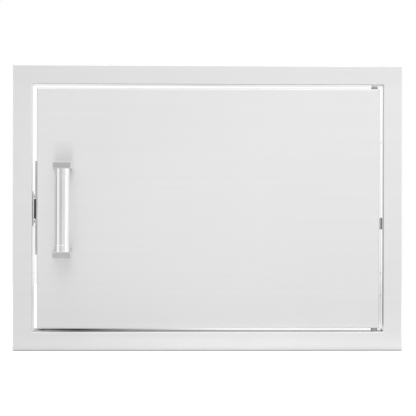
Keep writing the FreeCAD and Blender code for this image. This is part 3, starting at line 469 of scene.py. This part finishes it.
def door_painted_shade(tree, place):
    """Mask of a darkening low on the door and of a patch of painted shade above the handle, and no change of
    roughness."""
    x, _, z = place
    across = maths(tree, "SUBTRACT", x, HANDLE.x)
    above = maths(tree, "SUBTRACT", z, HANDLE_TOP)
    # Painted shade above the handle's upper post
    handle_shade = product(tree, band(tree, across, *HANDLE_SHADE_ACROSS), band(tree, above, *HANDLE_SHADE_HEIGHTS),
                     HANDLE_SHADE_STRENGTH)
    return total(tree, remap(tree, z, *DOOR_FOOT_DARKENING), handle_shade), 0.0


# Metals and plastics

# Brushed sheet: change of roughness behind the faces, contrast of the grain, and how its gloss is drawn out

FOLDED = (FRAME_FACE + 1.5 * MM, FRAME_FACE + 2.5 * MM, 0.0, -0.16)
GRAIN_CONTRAST = 0.08
ANISOTROPY = 0.75
QUARTER_TURN = 0.25


def brushed_steel(name, colour, roughness, grain, painted_shade=None):
    """Satin stainless sheet with its grain along X, smoother where it is folded back."""
    finish = Finish(name, 1.0)
    tree, place = finish.tree, finish.coordinates()
    brush = finish.grain(place, run=7.0, pitch=2200.0)
    marks = finish.marks(place, smears=7.0)
    tone = total(tree, product(tree, brush["Lines"], 0.55), product(tree, brush["Bands"], 0.45))
    contrast = GRAIN_CONTRAST * grain
    finish.colour(tone, shade(colour, 1 - contrast), shade(colour, 1 + contrast))
    wear = maths(tree, "ADD", product(tree, brush["Lines"], 0.6), product(tree, marks["Smears"], 0.4),
                 clamp=True)
    position = axes(tree, place)
    change = remap(tree, position["Y"], *FOLDED)
    # The mask lays painted shade, and a slight darkening, over the steel's colour
    if painted_shade:
        mask, polished = painted_shade(tree, position)
        finish.overlay_colour(mask, DARKENING_COLOUR)
        change = total(tree, change, product(tree, mask, DARKENING_ROUGHNESS), polished)
    finish.gloss(wear, roughness - 0.05, roughness + 0.06, change)
    height = maths(tree, "SUBTRACT", brush["Lines"], product(tree, brush["Scratches"], 0.6))
    finish.relief(height, depth=0.02 * MM, strength=grain)
    finish.shader.inputs["Anisotropic"].default_value = ANISOTROPY
    finish.shader.inputs["Anisotropic Rotation"].default_value = QUARTER_TURN
    tangent = tree.nodes.new("ShaderNodeTangent")
    tangent.direction_type = "RADIAL"
    tangent.axis = "Z"
    tree.links.new(tangent.outputs["Tangent"], finish.shader.inputs["Tangent"])
    return finish.material


def mill_steel(name, colour):
    """Rolled sheet as it leaves the mill: softer lines, duller, with dust."""
    finish = Finish(name, 1.0)
    tree, place = finish.tree, finish.coordinates(ALONG_Z)
    brush = finish.grain(place, run=3.0, pitch=700.0)
    marks = finish.marks(place, smears=11.0)
    finish.colour(brush["Bands"], shade(colour, 0.94), shade(colour, 1.05))
    dull = maths(tree, "ADD", product(tree, marks["Smears"], 0.7), product(tree, marks["Dust"], 0.3),
                 clamp=True)
    finish.gloss(dull, 0.34, 0.48)
    finish.relief(brush["Lines"], depth=0.01 * MM, strength=0.5)
    return finish.material


def cast_steel(name, colour):
    """Tumbled casting with a fine pebbled skin."""
    finish = Finish(name, 1.0)
    place = finish.coordinates()
    skin = finish.speckle(place, grains=2600.0)
    finish.colour(skin["Mottle"], shade(colour, 0.93), shade(colour, 1.07))
    finish.gloss(finish.marks(place, smears=40.0)["Smears"], 0.12, 0.18)
    finish.relief(skin["Pebbles"], depth=0.008 * MM, strength=0.4)
    return finish.material


def polished_chrome(name, colour):
    """Mirror-polished metal with faint polishing lines and touch marks."""
    finish = Finish(name, 1.0)
    place = finish.coordinates()
    brush = finish.grain(place, run=60.0, pitch=2400.0)
    finish.colour(brush["Bands"], shade(colour, 0.985), shade(colour, 1.015))
    finish.gloss(finish.marks(place, smears=55.0)["Smears"], 0.05, 0.11)
    finish.relief(brush["Lines"], depth=0.002 * MM, strength=0.4)
    return finish.material


def machined_steel(name, colour, roughness):
    """Turned or cut steel with tool lines across the hinge axis."""
    finish = Finish(name, 1.0)
    place = finish.coordinates()
    brush = finish.grain(place, run=30.0, pitch=4200.0)
    finish.colour(finish.marks(place, smears=60.0)["Smears"], shade(colour, 1.05), shade(colour, 0.86))
    finish.gloss(brush["Lines"], roughness - 0.06, roughness + 0.08)
    finish.relief(brush["Lines"], depth=0.02 * MM, strength=0.6)
    return finish.material


def plated_steel(name, colour, tint):
    """Zinc plate: bright, a little clouded, with a faint tint where it is thick."""
    finish = Finish(name, 1.0)
    place = finish.coordinates()
    skin = finish.speckle(place, grains=900.0)
    finish.colour(skin["Mottle"], colour, tint)
    finish.gloss(finish.marks(place, smears=45.0)["Smears"], 0.26, 0.42)
    finish.relief(skin["Pebbles"], depth=0.01 * MM, strength=0.4)
    return finish.material


def plastic(name, colour, smoothest, roughest, grains=1900.0, depth=0.02 * MM):
    """Moulded or sintered material with a fine skin and handling marks."""
    finish = Finish(name, 0.0)
    place = finish.coordinates()
    skin = finish.speckle(place, grains)
    finish.colour(skin["Mottle"], shade(colour, 0.9), shade(colour, 1.12))
    finish.gloss(finish.marks(place, smears=50.0)["Smears"], smoothest, roughest)
    finish.relief(skin["Pebbles"], depth, strength=0.7)
    return finish.material


def dress(material, *names):
    """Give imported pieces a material."""
    for name in names:
        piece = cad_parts[name]
        if piece.material_slots:
            piece.material_slots[0].material = material
        else:
            piece.data.materials.append(material)


# Mesh helpers

def finished(mesh, name, body, slot, material, replaced, sharp_angle=35):
    """Turn a bmesh into a piece that rides on a body, in the place of a packed one. Edges that turn by more
    than the sharp angle, in degrees, show as edges."""
    bmesh.ops.recalc_face_normals(mesh, faces=mesh.faces)
    for face in mesh.faces:
        face.smooth = True
    for edge in mesh.edges:
        edge.smooth = len(edge.link_faces) == 2 and edge.calc_face_angle(0) < math.radians(sharp_angle)
    data = bpy.data.meshes.new(name)
    mesh.to_mesh(data)
    mesh.free()
    data.materials.append(material)
    piece = bpy.data.objects.new(name, data)
    bpy.context.scene.collection.objects.link(piece)
    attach(piece, body)
    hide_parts(replaced)
    return piece


def turned(profile, steps):
    """Spin an open profile of (radius, height) points round the Z axis into a closed piece."""
    mesh = bmesh.new()
    points = [mesh.verts.new((radius, 0, height)) for radius, height in profile]
    edges = [mesh.edges.new(pair) for pair in zip(points, points[1:])]
    bmesh.ops.spin(mesh, geom=points + edges, cent=(0, 0, 0), axis=(0, 0, 1), dvec=(0, 0, 0),
                   angle=math.tau, steps=steps, use_merge=True, use_duplicate=False)
    bmesh.ops.remove_doubles(mesh, verts=mesh.verts, dist=MERGED)
    return mesh


# Operators

class ACCESSDOOR_OT_frame(bpy.types.Operator):
    """Finish the four folded rails of the frame, brushed level all the way round."""

    bl_idname = "accessdoor.frame"
    bl_label = "Finish Frame"

    def execute(self, context):
        look = context.scene.access_door_finish
        dress(brushed_steel("Frame Steel", look.frame_colour, look.frame_roughness, look.grain, frame_painted_shade),
              "frame_top_rail", "frame_bottom_rail", "frame_latch_stile", "frame_hinge_stile")
        return {"FINISHED"}


class ACCESSDOOR_OT_door(bpy.types.Operator):
    """Finish the door's brushed outer skin, and its mill-finish liner, stiffeners and backing plate."""

    bl_idname = "accessdoor.door"
    bl_label = "Finish Door"

    def execute(self, context):
        look = context.scene.access_door_finish
        dress(brushed_steel("Door Steel", look.door_colour, look.door_roughness, look.grain, door_painted_shade),
              "door_outer_skin")
        dress(mill_steel("Liner Steel", look.liner_colour), "door_inner_liner", "door_stiffener_left",
              "door_stiffener_right", "handle_backing_plate")
        return {"FINISHED"}


class ACCESSDOOR_OT_hinges(bpy.types.Operator):
    """Finish the hinge plates, block, bracket, pins and collar, and the nylon spacers and bush."""

    bl_idname = "accessdoor.hinges"
    bl_label = "Finish Hinges"

    def execute(self, context):
        dress(machined_steel("Hinge Steel", (0.74, 0.74, 0.75), 0.26),
              "lower_hinge_plate", "upper_hinge_plate", "lower_hinge_block", "upper_hinge_bracket",
              "lower_hinge_pin", "upper_hinge_pin", "pin_collar")
        dress(plastic("Grey Nylon", (0.34, 0.34, 0.335), 0.3, 0.45), "lower_hinge_washer",
              "upper_hinge_washer")
        dress(plastic("White Nylon", (0.88, 0.875, 0.86), 0.25, 0.4), "upper_pin_bush")
        return {"FINISHED"}


class ACCESSDOOR_OT_spring(bpy.types.Operator):
    """Wind the hinge pin's spring with closed ends, in the place of its plainer solid."""

    bl_idname = "accessdoor.spring"
    bl_label = "Wind Spring"

    turns: bpy.props.IntProperty(
        name="Turns", description="Coils between the two closed ends", min=2, default=5)
    wire: bpy.props.FloatProperty(
        name="Wire", description="Wire diameter", unit="LENGTH", min=0.2 * MM, default=0.9 * MM)
    closed_pitch: bpy.props.FloatProperty(
        name="Closed pitch", description="Rise of a closed end's coil, over the wire", min=1, default=1.04)

    def execute(self, context):
        low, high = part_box("hinge_pin_spring")
        centre = middle_of("hinge_pin_spring")
        coil_radius = (high.x - low.x - self.wire) / 2
        closed = self.wire * self.closed_pitch
        climb = (high.z - low.z - self.wire - 2 * closed) / self.turns
        wire_sides, coil_steps = 12, 36
        mesh = bmesh.new()
        ring = bmesh.ops.create_circle(mesh, segments=wire_sides, radius=self.wire / 2)["verts"]
        bmesh.ops.rotate(mesh, verts=ring, cent=(0, 0, 0), matrix=Matrix.Rotation(math.pi / 2, 3, "X"))
        bmesh.ops.translate(mesh, verts=ring, vec=(centre.x + coil_radius, centre.y, low.z + self.wire / 2))
        leading = list(mesh.faces) + list(mesh.edges) + ring
        for turns, rise in ((1, closed), (self.turns, climb), (1, closed)):
            spun = bmesh.ops.spin(
                mesh, geom=leading, cent=centre, axis=(0, 0, 1), dvec=(0, 0, rise / coil_steps),
                angle=math.tau * turns, steps=coil_steps * turns, use_merge=False, use_duplicate=False)
            leading = spun["geom_last"]
        ends = [edge for edge in mesh.edges if edge.is_boundary]
        bmesh.ops.holes_fill(mesh, edges=ends, sides=0)
        steel = machined_steel("Spring Steel", (0.5, 0.5, 0.52), 0.28)
        spring = finished(mesh, "hinge_pin_spring_coil", "door", "spring_steel", steel, "hinge_pin_spring")
        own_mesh(spring)
        return {"FINISHED"}


class ACCESSDOOR_OT_handle(bpy.types.Operator):
    """Finish the cast posts, the polished bar and its sleeves."""

    bl_idname = "accessdoor.handle"
    bl_label = "Finish Handle"

    def execute(self, context):
        look = context.scene.access_door_finish
        dress(cast_steel("Cast Posts", look.post_colour), "handle_post_upper", "handle_post_lower")
        dress(polished_chrome("Polished Bar", look.chrome_colour), "handle_bar", "handle_ferrule_upper",
              "handle_ferrule_lower")
        return {"FINISHED"}


class ACCESSDOOR_OT_catch(bpy.types.Operator):
    """Finish the magnet, its housing and angle, the jamb's plug, and the plated plates and screws."""

    bl_idname = "accessdoor.catch"
    bl_label = "Finish Catch"

    def execute(self, context):
        dress(plastic("Black Moulding", (0.03, 0.03, 0.032), 0.42, 0.6), "magnet_catch_housing")
        dress(plastic("Ferrite", (0.09, 0.09, 0.092), 0.6, 0.8, grains=1200.0, depth=0.05 * MM),
              "magnet_block")
        dress(plastic("Plug Moulding", (0.46, 0.46, 0.46), 0.08, 0.16, depth=0.004 * MM),
              "jamb_blanking_plug")
        dress(brushed_steel("Angle Steel", (0.94, 0.94, 0.94), 0.25, 0.3), "catch_bracket")
        dress(plated_steel("Zinc Plate", (0.66, 0.67, 0.69), (0.70, 0.69, 0.64)), "strike_plate",
              "magnet_pole_plates", "handle_screws")
        return {"FINISHED"}


def gather(mesh, part, place, facing):
    """Stand a part at a place, its top towards a direction, and add it to a mesh."""
    turn = Vector((0, 0, 1)).rotation_difference(Vector(facing)).to_matrix().to_4x4()
    bmesh.ops.transform(part, matrix=Matrix.Translation(place) @ turn, verts=part.verts)
    data = bpy.data.meshes.new("part")
    part.to_mesh(data)
    part.free()
    mesh.from_mesh(data)
    bpy.data.meshes.remove(data)


def reshaped(part, low, high, reach, outline):
    """Pull the vertices between two heights, out to a reach, on to an outline given as radius by angle."""
    for vertex in part.verts:
        radius = vertex.co.xy.length
        if low <= vertex.co.z <= high and ON_AXIS < radius <= reach:
            angle = math.atan2(vertex.co.y, vertex.co.x)
            vertex.co.xy *= outline(angle, radius) / radius


def row_places(node, radius, count):
    """Middles of like fasteners that stand in a row along Z, from their node's box."""
    low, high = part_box(node)
    middle = middle_of(node)
    step = (high.z - low.z - 2 * radius) / (count - 1)
    return [Vector((middle.x, middle.y, low.z + radius + step * i)) for i in range(count)]


def blind_rivet(length, shank=1.6 * MM, tail=1.2 * MM, bulb=2.2 * MM):
    """Turn one set blind rivet: domed head with its broken stem above zero, shank and swollen tail below."""
    end = RIVET_RISE - length
    rim = RIVET_RISE * 0.3
    dome = [(RIVET_HEAD * math.cos(angle), rim + (RIVET_RISE - rim) * math.sin(angle))
            for angle in (math.radians(11 * step) for step in range(7))]
    hole, stem = RIVET_HEAD * 0.34, RIVET_HEAD * 0.27
    mouth, bottom, shoulder, tip = (RIVET_RISE * share for share in (0.98, 0.5, 0.75, 0.85))
    swell = [(bulb * math.sin(angle), end + tail * (0.5 - 0.5 * math.cos(angle)))
             for angle in (math.radians(30 * step) for step in range(1, 6))]
    profile = [(0, end), *swell, (shank, end + tail), (shank, 0), (RIVET_HEAD, 0), *dome,
               (hole, mouth), (hole, bottom), (stem, bottom), (stem, shoulder), (0, tip)]
    return turned(profile, steps=32)


def pan_screw(length, shank=1.5 * MM):
    """Turn one pan-head screw, its head above zero, and sink a cross recess in it."""
    end = SCREW_RISE - length
    round_off = SCREW_HEAD * 0.14
    half = SCREW_RISE / 2
    rim = [(SCREW_HEAD - round_off + round_off * math.cos(angle), half + half * math.sin(angle))
           for angle in (math.radians(18 * step) for step in range(6))]
    arm, half_width = SCREW_HEAD * 0.56, SCREW_HEAD * 0.14
    floor, centre, lowest_pulled = (SCREW_RISE * share for share in (0.45, 0.4, 0.42))
    bevel = shank * 0.25
    profile = [(0, end), (shank - bevel, end), (shank, end + bevel), (shank, 0), (SCREW_HEAD, 0), *rim,
               (arm, SCREW_RISE), (arm * 0.8, floor), (0, centre)]
    part = turned(profile, steps=48)

    def cross(angle, radius):
        across, up = abs(math.cos(angle)) + NOT_ZERO, abs(math.sin(angle)) + NOT_ZERO
        widths = min(arm / across, half_width / up), min(arm / up, half_width / across)
        return max(widths) * radius / arm

    reshaped(part, lowest_pulled, SCREW_RISE * JUST_OVER, arm * JUST_OVER, cross)
    return part


def hexagon_nut(height, bore=1.5 * MM):
    """Turn one nut and pull its outside to a hexagon with bevelled corners."""
    bevel = height * 0.12
    lip = bore * 1.18
    profile = [(bore, bevel), (lip, 0), (NUT_FLAT, 0), (NUT_CORNER, bevel), (NUT_CORNER, height - bevel),
               (NUT_FLAT, height), (lip, height), (bore, height - bevel), (bore, bevel)]
    part = turned(profile, steps=36)

    def hexagon(angle, radius):
        if radius < NUT_FLAT * JUST_OVER:
            return radius
        return NUT_FLAT / math.cos((angle + SIXTH_TURN / 2) % SIXTH_TURN - SIXTH_TURN / 2)

    reshaped(part, bevel * 0.5, height - bevel * 0.5, NUT_CORNER * JUST_OVER, hexagon)
    return part


class ACCESSDOOR_OT_fasteners(bpy.types.Operator):
    """Set domed blind rivets, recessed screws and bevelled nuts in the place of their plainer solids."""

    bl_idname = "accessdoor.fasteners"
    bl_label = "Set Fasteners"

    def execute(self, context):
        rivet = ("rivet_steel", machined_steel("Rivet Steel", (0.66, 0.66, 0.66), 0.26))
        zinc = ("plated_steel", bpy.data.materials["Zinc Plate"])
        for node, body, count, facing, radius, rise, (slot, material), maker in (
            ("strike_rivets", "door", 3, (0, 1, 0), RIVET_HEAD, RIVET_RISE, rivet, blind_rivet),
            ("bracket_rivets", "frame", 2, (1, 0, 0), RIVET_HEAD, RIVET_RISE, rivet, blind_rivet),
            ("catch_screws", "frame", 2, (0, -1, 0), SCREW_HEAD, SCREW_RISE, zinc, pan_screw),
        ):
            low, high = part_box(node)
            facing = Vector(facing)
            length = abs((high - low).dot(facing))
            mesh = bmesh.new()
            for middle in row_places(node, radius, count):
                gather(mesh, maker(length), middle + facing * (length / 2 - rise), facing)
            finished(mesh, node + "_set", body, slot, material, node)
        low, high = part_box("catch_nuts")
        mesh = bmesh.new()
        for middle in row_places("catch_nuts", NUT_FLAT, 2):
            gather(mesh, hexagon_nut(high.y - low.y), (middle.x, low.y, middle.z), (0, 1, 0))
        finished(mesh, "catch_nuts_bevelled", "frame", *zinc, "catch_nuts", sharp_angle=20)
        return {"FINISHED"}


# The room that the metal reflects: ramps of brightness by the X, Y or Z of a direction

ROOM_ACROSS = (-0.04, 0.14, 0.705, 0.878)
ROOM_HEIGHTS = ((0.03, 0.30, 0.0, 0.25), (0.30, 0.60, 0.0, 0.20), (-0.15, -0.03, 0.13, 0.0),
                (-0.08, -0.05, 0.0, -0.12), (0.01, 0.05, 0.0, 0.12))
BEHIND_DOOR = (-0.15, 0.25, 0.0, 1.0)
BEHIND_HEIGHTS = (-0.10, -0.07, 0.80, 1.15)
WALL_ACROSS = ((-0.073, -0.066, 0.0, 1.0), (-0.035, 0.055, 1.0, 0.0))
WALL_HEIGHTS = ((-0.03, 0.0, 0.0, 1.0), (0.80, 0.95, 1.0, 0.0))
DOORWAY_ACROSS = (-0.80, -0.70, 0.55, 0.0)
DOORWAY_DEPTH = (-0.09, -0.03, 0.0, 1.0)

# The floor: colours to the eye and in reflections, where it is darker as painted shade, and ramps of its glow
# by place in metres, painted light in reflections that fades away next to the object as painted shade

FLOOR_RADIUS = 1.6
FLOOR_COLOUR = (0.87, 0.87, 0.87)
FLOOR_SHADED_IN_REFLECTIONS = (0.52, 0.52, 0.52)
CAMERA_GLOW = 0.3
POOL_DEPTHS = ((-0.20, -0.05, 0.0, 1.0), (-0.03, -0.014, 1.0, 0.0))
POOL_ACROSS = (-0.34, -0.02, 0.47, 0.74)
FLOOR_DEPTHS = ((-0.60, -0.30, 0.45, 0.0), (0.05, 0.40, 0.0, 0.40), (0.50, 0.90, 0.0, -0.20))
FLOOR_ENDS = ((-0.38, -0.08, 0.14, 0.0), (0.12, 0.38, 0.0, 0.26))

# The soft panels, in metres: two that stand round the handle, their foot below the floor, and one overhead

SIDE_PANEL_REACH = 5.0
SIDE_PANEL_HEIGHT = 5.5
SIDE_PANEL_FOOT = -0.3
TOP_PANEL_PLACE = (0.0, -0.7, 2.4)
TOP_PANEL_SIZE = (2.4, 1.6)


def area_lamp(name, place, aim, width, height, level):
    """Add a soft panel that shines as bright as its level and can't be seen itself."""
    data = bpy.data.lights.new(name, "AREA")
    data.shape = "RECTANGLE"
    data.size, data.size_y = width, height
    data.energy = level * math.pi * width * height
    lamp = bpy.data.objects.new(name, data)
    bpy.context.scene.collection.objects.link(lamp)
    lamp.location = place
    lamp.rotation_mode = "QUATERNION"
    lamp.rotation_quaternion = (Vector(aim) - Vector(place)).to_track_quat("-Z", "Y")
    lamp.visible_camera = False


def studio_world():
    """White to the camera, and a soft room to the metal: grey in front, white behind, with a dark wall
    behind and a dark doorway on the left."""
    world = bpy.data.worlds.new("Studio")
    world.use_nodes = True
    tree = world.node_tree
    tree.nodes.clear()
    source = tree.nodes.new("ShaderNodeTexCoord")
    x, y, z = axes(tree, source.outputs["Generated"])
    front = total(tree, remap(tree, x, *ROOM_ACROSS), *ramps(tree, z, *ROOM_HEIGHTS))
    wall = product(tree, *ramps(tree, x, *WALL_ACROSS), *ramps(tree, z, *WALL_HEIGHTS))
    back = product(tree, inverted(tree, wall), remap(tree, z, *BEHIND_HEIGHTS))
    behind = remap(tree, y, *BEHIND_DOOR)
    room = total(tree, product(tree, front, inverted(tree, behind)), product(tree, back, behind))
    doorway = product(tree, remap(tree, x, *DOORWAY_ACROSS), remap(tree, y, *DOORWAY_DEPTH))
    room = product(tree, room, inverted(tree, doorway))
    path = tree.nodes.new("ShaderNodeLightPath")
    camera = path.outputs["Is Camera Ray"]
    background = tree.nodes.new("ShaderNodeBackground")
    background.inputs["Color"].default_value = (1, 1, 1, 1)
    seen = total(tree, product(tree, room, inverted(tree, camera)), camera)
    tree.links.new(seen, background.inputs["Strength"])
    end = tree.nodes.new("ShaderNodeOutputWorld")
    tree.links.new(background.outputs[0], end.inputs["Surface"])
    return world


def pale_floor(height):
    """A wide pale floor that keeps the object's shadow, and glows a little to the camera. In reflections it
    is darker, as painted shade, and glows by place as painted light that fades away next to the object."""
    mesh = bmesh.new()
    bmesh.ops.create_circle(mesh, cap_ends=True, segments=96, radius=FLOOR_RADIUS)
    bmesh.ops.translate(mesh, verts=mesh.verts, vec=(0, 0, height))
    data = bpy.data.meshes.new("floor")
    mesh.to_mesh(data)
    mesh.free()
    finish = Finish("Pale Floor", 0.0)
    tree, place = finish.tree, finish.coordinates()
    path = tree.nodes.new("ShaderNodeLightPath")
    camera, reflected = path.outputs["Is Camera Ray"], path.outputs["Is Glossy Ray"]
    # The darker colour in reflections is painted shade
    finish.colour(reflected, FLOOR_COLOUR, FLOOR_SHADED_IN_REFLECTIONS)
    finish.gloss(noise(tree, place, 3.0), 0.85, 0.95)
    x, y, _ = axes(tree, place)
    # Painted light in reflections by place, fading away next to the object as painted shade
    pool = product(tree, *ramps(tree, y, *POOL_DEPTHS), remap(tree, x, *POOL_ACROSS))
    pool = total(tree, pool, *ramps(tree, y, *FLOOR_DEPTHS))
    pool = product(tree, pool, inverted(tree, total(tree, *ramps(tree, x, *FLOOR_ENDS))))
    glow = total(tree, product(tree, camera, CAMERA_GLOW), product(tree, reflected, pool))
    finish.shader.inputs["Emission Color"].default_value = (1, 1, 1, 1)
    tree.links.new(glow, finish.shader.inputs["Emission Strength"])
    data.materials.append(finish.material)
    floor = bpy.data.objects.new("floor", data)
    bpy.context.scene.collection.objects.link(floor)


class ACCESSDOOR_OT_stage(bpy.types.Operator):
    """Set the floor, the soft light and the camera."""

    bl_idname = "accessdoor.stage"
    bl_label = "Set Stage"

    def execute(self, context):
        scene = context.scene
        look = scene.access_door_stage
        low, high = cad_bounds
        middle = Vector(((low.x + high.x) / 2, FRAME_FACE, (low.z + high.z) / 2))
        pale_floor(low.z)
        scene.world = studio_world()
        for name, side_angle, width, level in (
            ("right_panel", 77.5, 5.2, look.key_level),
            ("left_panel", -61.5, 3.94, look.fill_level),
        ):
            angle = math.radians(side_angle)
            place = HANDLE + Vector((math.sin(angle), -math.cos(angle), 0)) * SIDE_PANEL_REACH
            place.z = low.z + SIDE_PANEL_FOOT + SIDE_PANEL_HEIGHT / 2
            area_lamp(name, place, (HANDLE.x, HANDLE.y, place.z), width, SIDE_PANEL_HEIGHT, level)
        area_lamp("top_panel", TOP_PANEL_PLACE, middle, *TOP_PANEL_SIZE, look.top_level)
        data = bpy.data.cameras.new("camera")
        data.lens = data.sensor_width * look.camera_distance / look.picture_width
        camera = bpy.data.objects.new("camera", data)
        scene.collection.objects.link(camera)
        camera.location = middle + Vector((look.camera_side, -look.camera_distance, look.camera_rise))
        aim = Vector((math.sin(look.camera_yaw), math.cos(look.camera_yaw), 0)).to_track_quat("-Z", "Y")
        ahead = look.camera_side + look.camera_distance * math.tan(look.camera_yaw)
        data.shift_x = (look.picture_side - ahead) / look.picture_width
        data.shift_y = -look.camera_rise / look.picture_width
        camera.rotation_mode = "QUATERNION"
        camera.rotation_quaternion = aim @ Matrix.Rotation(look.camera_roll, 3, "Z").to_quaternion()
        scene.camera = camera
        scene.view_settings.view_transform = "Standard"
        return {"FINISHED"}


class ACCESSDOOR_PT_panel(bpy.types.Panel):
    """Lists the steps and the settings in the 3D view's sidebar."""

    bl_idname = "ACCESSDOOR_PT_panel"
    bl_label = "Access Door"
    bl_space_type = "VIEW_3D"
    bl_region_type = "UI"
    bl_category = "Access Door"

    def draw(self, context):
        layout = self.layout
        for group in (context.scene.access_door_finish, context.scene.access_door_stage):
            for name in group.__annotations__:
                layout.prop(group, name)
        for step in STEPS:
            layout.operator(step.bl_idname)


STEPS = (
    ACCESSDOOR_OT_frame,
    ACCESSDOOR_OT_door,
    ACCESSDOOR_OT_hinges,
    ACCESSDOOR_OT_spring,
    ACCESSDOOR_OT_handle,
    ACCESSDOOR_OT_catch,
    ACCESSDOOR_OT_fasteners,
    ACCESSDOOR_OT_stage,
)
CLASSES = (AccessDoorFinish, AccessDoorStage, *STEPS, ACCESSDOOR_PT_panel)


def register():
    for item in CLASSES:
        bpy.utils.register_class(item)
    bpy.types.Scene.access_door_finish = bpy.props.PointerProperty(type=AccessDoorFinish)
    bpy.types.Scene.access_door_stage = bpy.props.PointerProperty(type=AccessDoorStage)


def unregister():
    del bpy.types.Scene.access_door_stage
    del bpy.types.Scene.access_door_finish
    for item in reversed(CLASSES):
        bpy.utils.unregister_class(item)


def main():
    register()
    bpy.ops.accessdoor.frame()
    bpy.ops.accessdoor.door()
    bpy.ops.accessdoor.hinges()
    bpy.ops.accessdoor.spring()
    bpy.ops.accessdoor.handle()
    bpy.ops.accessdoor.catch()
    bpy.ops.accessdoor.fasteners()
    bpy.ops.accessdoor.stage()


if __name__ == "__main__":
    main()
